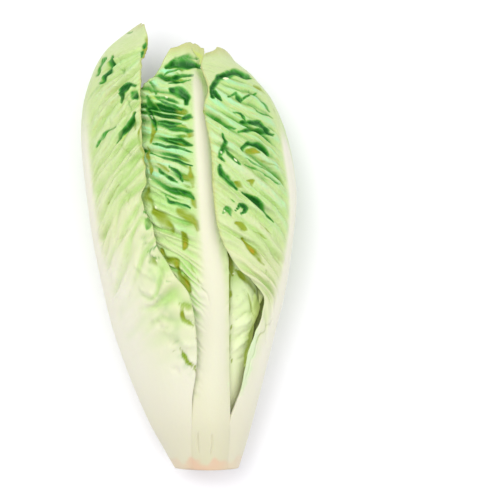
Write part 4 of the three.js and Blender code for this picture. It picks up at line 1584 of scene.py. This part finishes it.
def nested(pattern: LeafForm, places: tuple, first_seed: int = 0) -> list[LeafForm]:
    """Make leaves that are alike at several places inside the head.

    Args:
        pattern: What the leaves have in common.
        places: Name, rib and span in degrees, depth, base and tip of each leaf.
        first_seed: Number of the first leaf, which picks its random pattern.

    Returns:
        The leaves in the same order.
    """
    return [
        replace(pattern, name=name, base_y=base_y, tip_y=tip_y, depth=level(depth),
                rib=EdgeFromAngle(level(rib)), edge_before=even_edge(rib, -span, base_y),
                edge_after=even_edge(rib, span, base_y), seed=SEED_STEP * number)
        for number, (name, rib, span, depth, base_y, tip_y) in enumerate(places, first_seed)]


def inner_leaves() -> list[LeafForm]:
    """List the leaves of the second and third layers.

    Returns:
        The leaves behind the openings first.
    """
    plain = replace(
        OUTER_LEAF, slot="inner_leaf", vein_rise_before=12, vein_rise_after=12, rib_width=7,
        rib_height=1.3, crinkled_rows=18, fold=0.75, ruffle=0.9, ragged=2.4, crinkle=0.35,
        blister=0.12, shade=0.6, zone=0.3, columns=64, rows=150)
    front = replace(
        plain, name="inner_leaf_front", base_y=-88, tip_y=84, seed=3.3, rib_width=8,
        rib_height=1.6, crinkled_rows=22, fold=0.9, ruffle=0.5, columns=80, rows=190,
        bulge=Bulge(angle=38, spread=16, y=-38, reach=26, height=3.6), creases=INNER_CREASES,
        depth=Curve(((-110, 4.4), (-88, 4.8), (-72, 5.8), (-60, 7.4), (-40, 10), (110, 10.3))),
        rib=EdgeFromAngle(level(86)),
        edge_before=by_x(
            (-88, 17), (-80, 23.5), (-71, 28), (-58, 30.6), (-47, 32.6), (-40, 33.8),
            (-30, 34.4), (-21, 32.4), (-10, 27), (10, 22), (84, 18)),
        edge_after=even_edge(86, 62, -88))
    right, *hidden = nested(plain, (
        ("inner_leaf_right", 12, 68, 14, -78, 80),
        ("inner_leaf_left", 203, 50, 9.4, -90, 73),
        ("inner_leaf_back", 291, 33, 9.6, -88, 86),
    ))
    right = replace(right, bulge=Bulge(angle=18, spread=8, y=-20, reach=14, height=6),
                    depth=Curve(((-110, 11.2), (-80, 11.2), (-40, 14), (110, 14))),
                    creases=BEHIND_CREASES)
    deep = nested(replace(plain, columns=44, rows=110), (
        ("inner_leaf_left_deep", 188, 68, 17.4, -71, 71),
        ("inner_leaf_back_deep", 285, 68, 20.6, -61, 74),
    ), first_seed=3)
    return [front, right, *hidden, *deep]


def heart_leaves() -> list[LeafForm]:
    """List the small packed leaves of the heart.

    Returns:
        The leaves from the outside in, the inner ones with fewer folds.
    """
    small = replace(
        OUTER_LEAF, slot="heart_leaf", vein_rise_before=5, vein_rise_after=5,
        shoulder_before=12, shoulder_after=12, rib_width=5, rib_height=0.9, fold=0.55,
        ruffle=0.3, ragged=2.0, crinkle=0.2, blister=0.08, shade=0.4, zone=0.1,
        columns=40, rows=90)
    leaves = nested(small, (
        ("heart_leaf_1", 62, 68, 23.6, -51, 76),
        ("heart_leaf_2", 200, 68, 26.5, -41, 68),
        ("heart_leaf_3", 320, 66, 29.2, -28, 60),
        ("heart_leaf_4", 100, 62, 31.8, -12, 52),
        ("heart_leaf_5", 280, 54, 33.9, 0, 44),
    ))
    return [replace(leaf, crinkled_rows=rows)
            for leaf, rows in zip(leaves, HEART_LEAF_ROWS, strict=True)]


FINISHES = {
    "outer_leaf": LeafFinish("outer_leaf"),
    "front_leaf": LeafFinish("front_leaf", cream=paint(222, 221, 195), highlight_share=1.0,
                             fresh=paint(166, 214, 114), straw=paint(202, 196, 158)),
    # The inner leaves get a painted glow of light shining through them where their lit bands are.
    "inner_leaf": LeafFinish("inner_leaf", cream=paint(226, 232, 190),
                             sap=paint(212, 228, 172), pale=paint(204, 226, 164),
                             fresh=paint(186, 216, 120), painted_glow=0.3),
    "heart_leaf": LeafFinish("heart_leaf", cream=paint(240, 238, 200), sap=paint(232, 234, 168),
                             pale=paint(228, 234, 146), fresh=paint(214, 228, 122)),
}


def main() -> None:
    """Build the stem, every leaf and the studio, and note the sizes."""
    logging.basicConfig(level=logging.INFO, format="%(message)s")
    forms = outer_leaves() + inner_leaves() + heart_leaves()
    for maker in [StemButt()] + [Leaf(form, FINISHES[form.slot]) for form in forms]:
        piece = maker.build()
        maker.dress(piece)
        LOG.info("%s: %d faces", piece.name, len(piece.data.polygons))
    Studio().build()


if __name__ == "__main__":
    main()
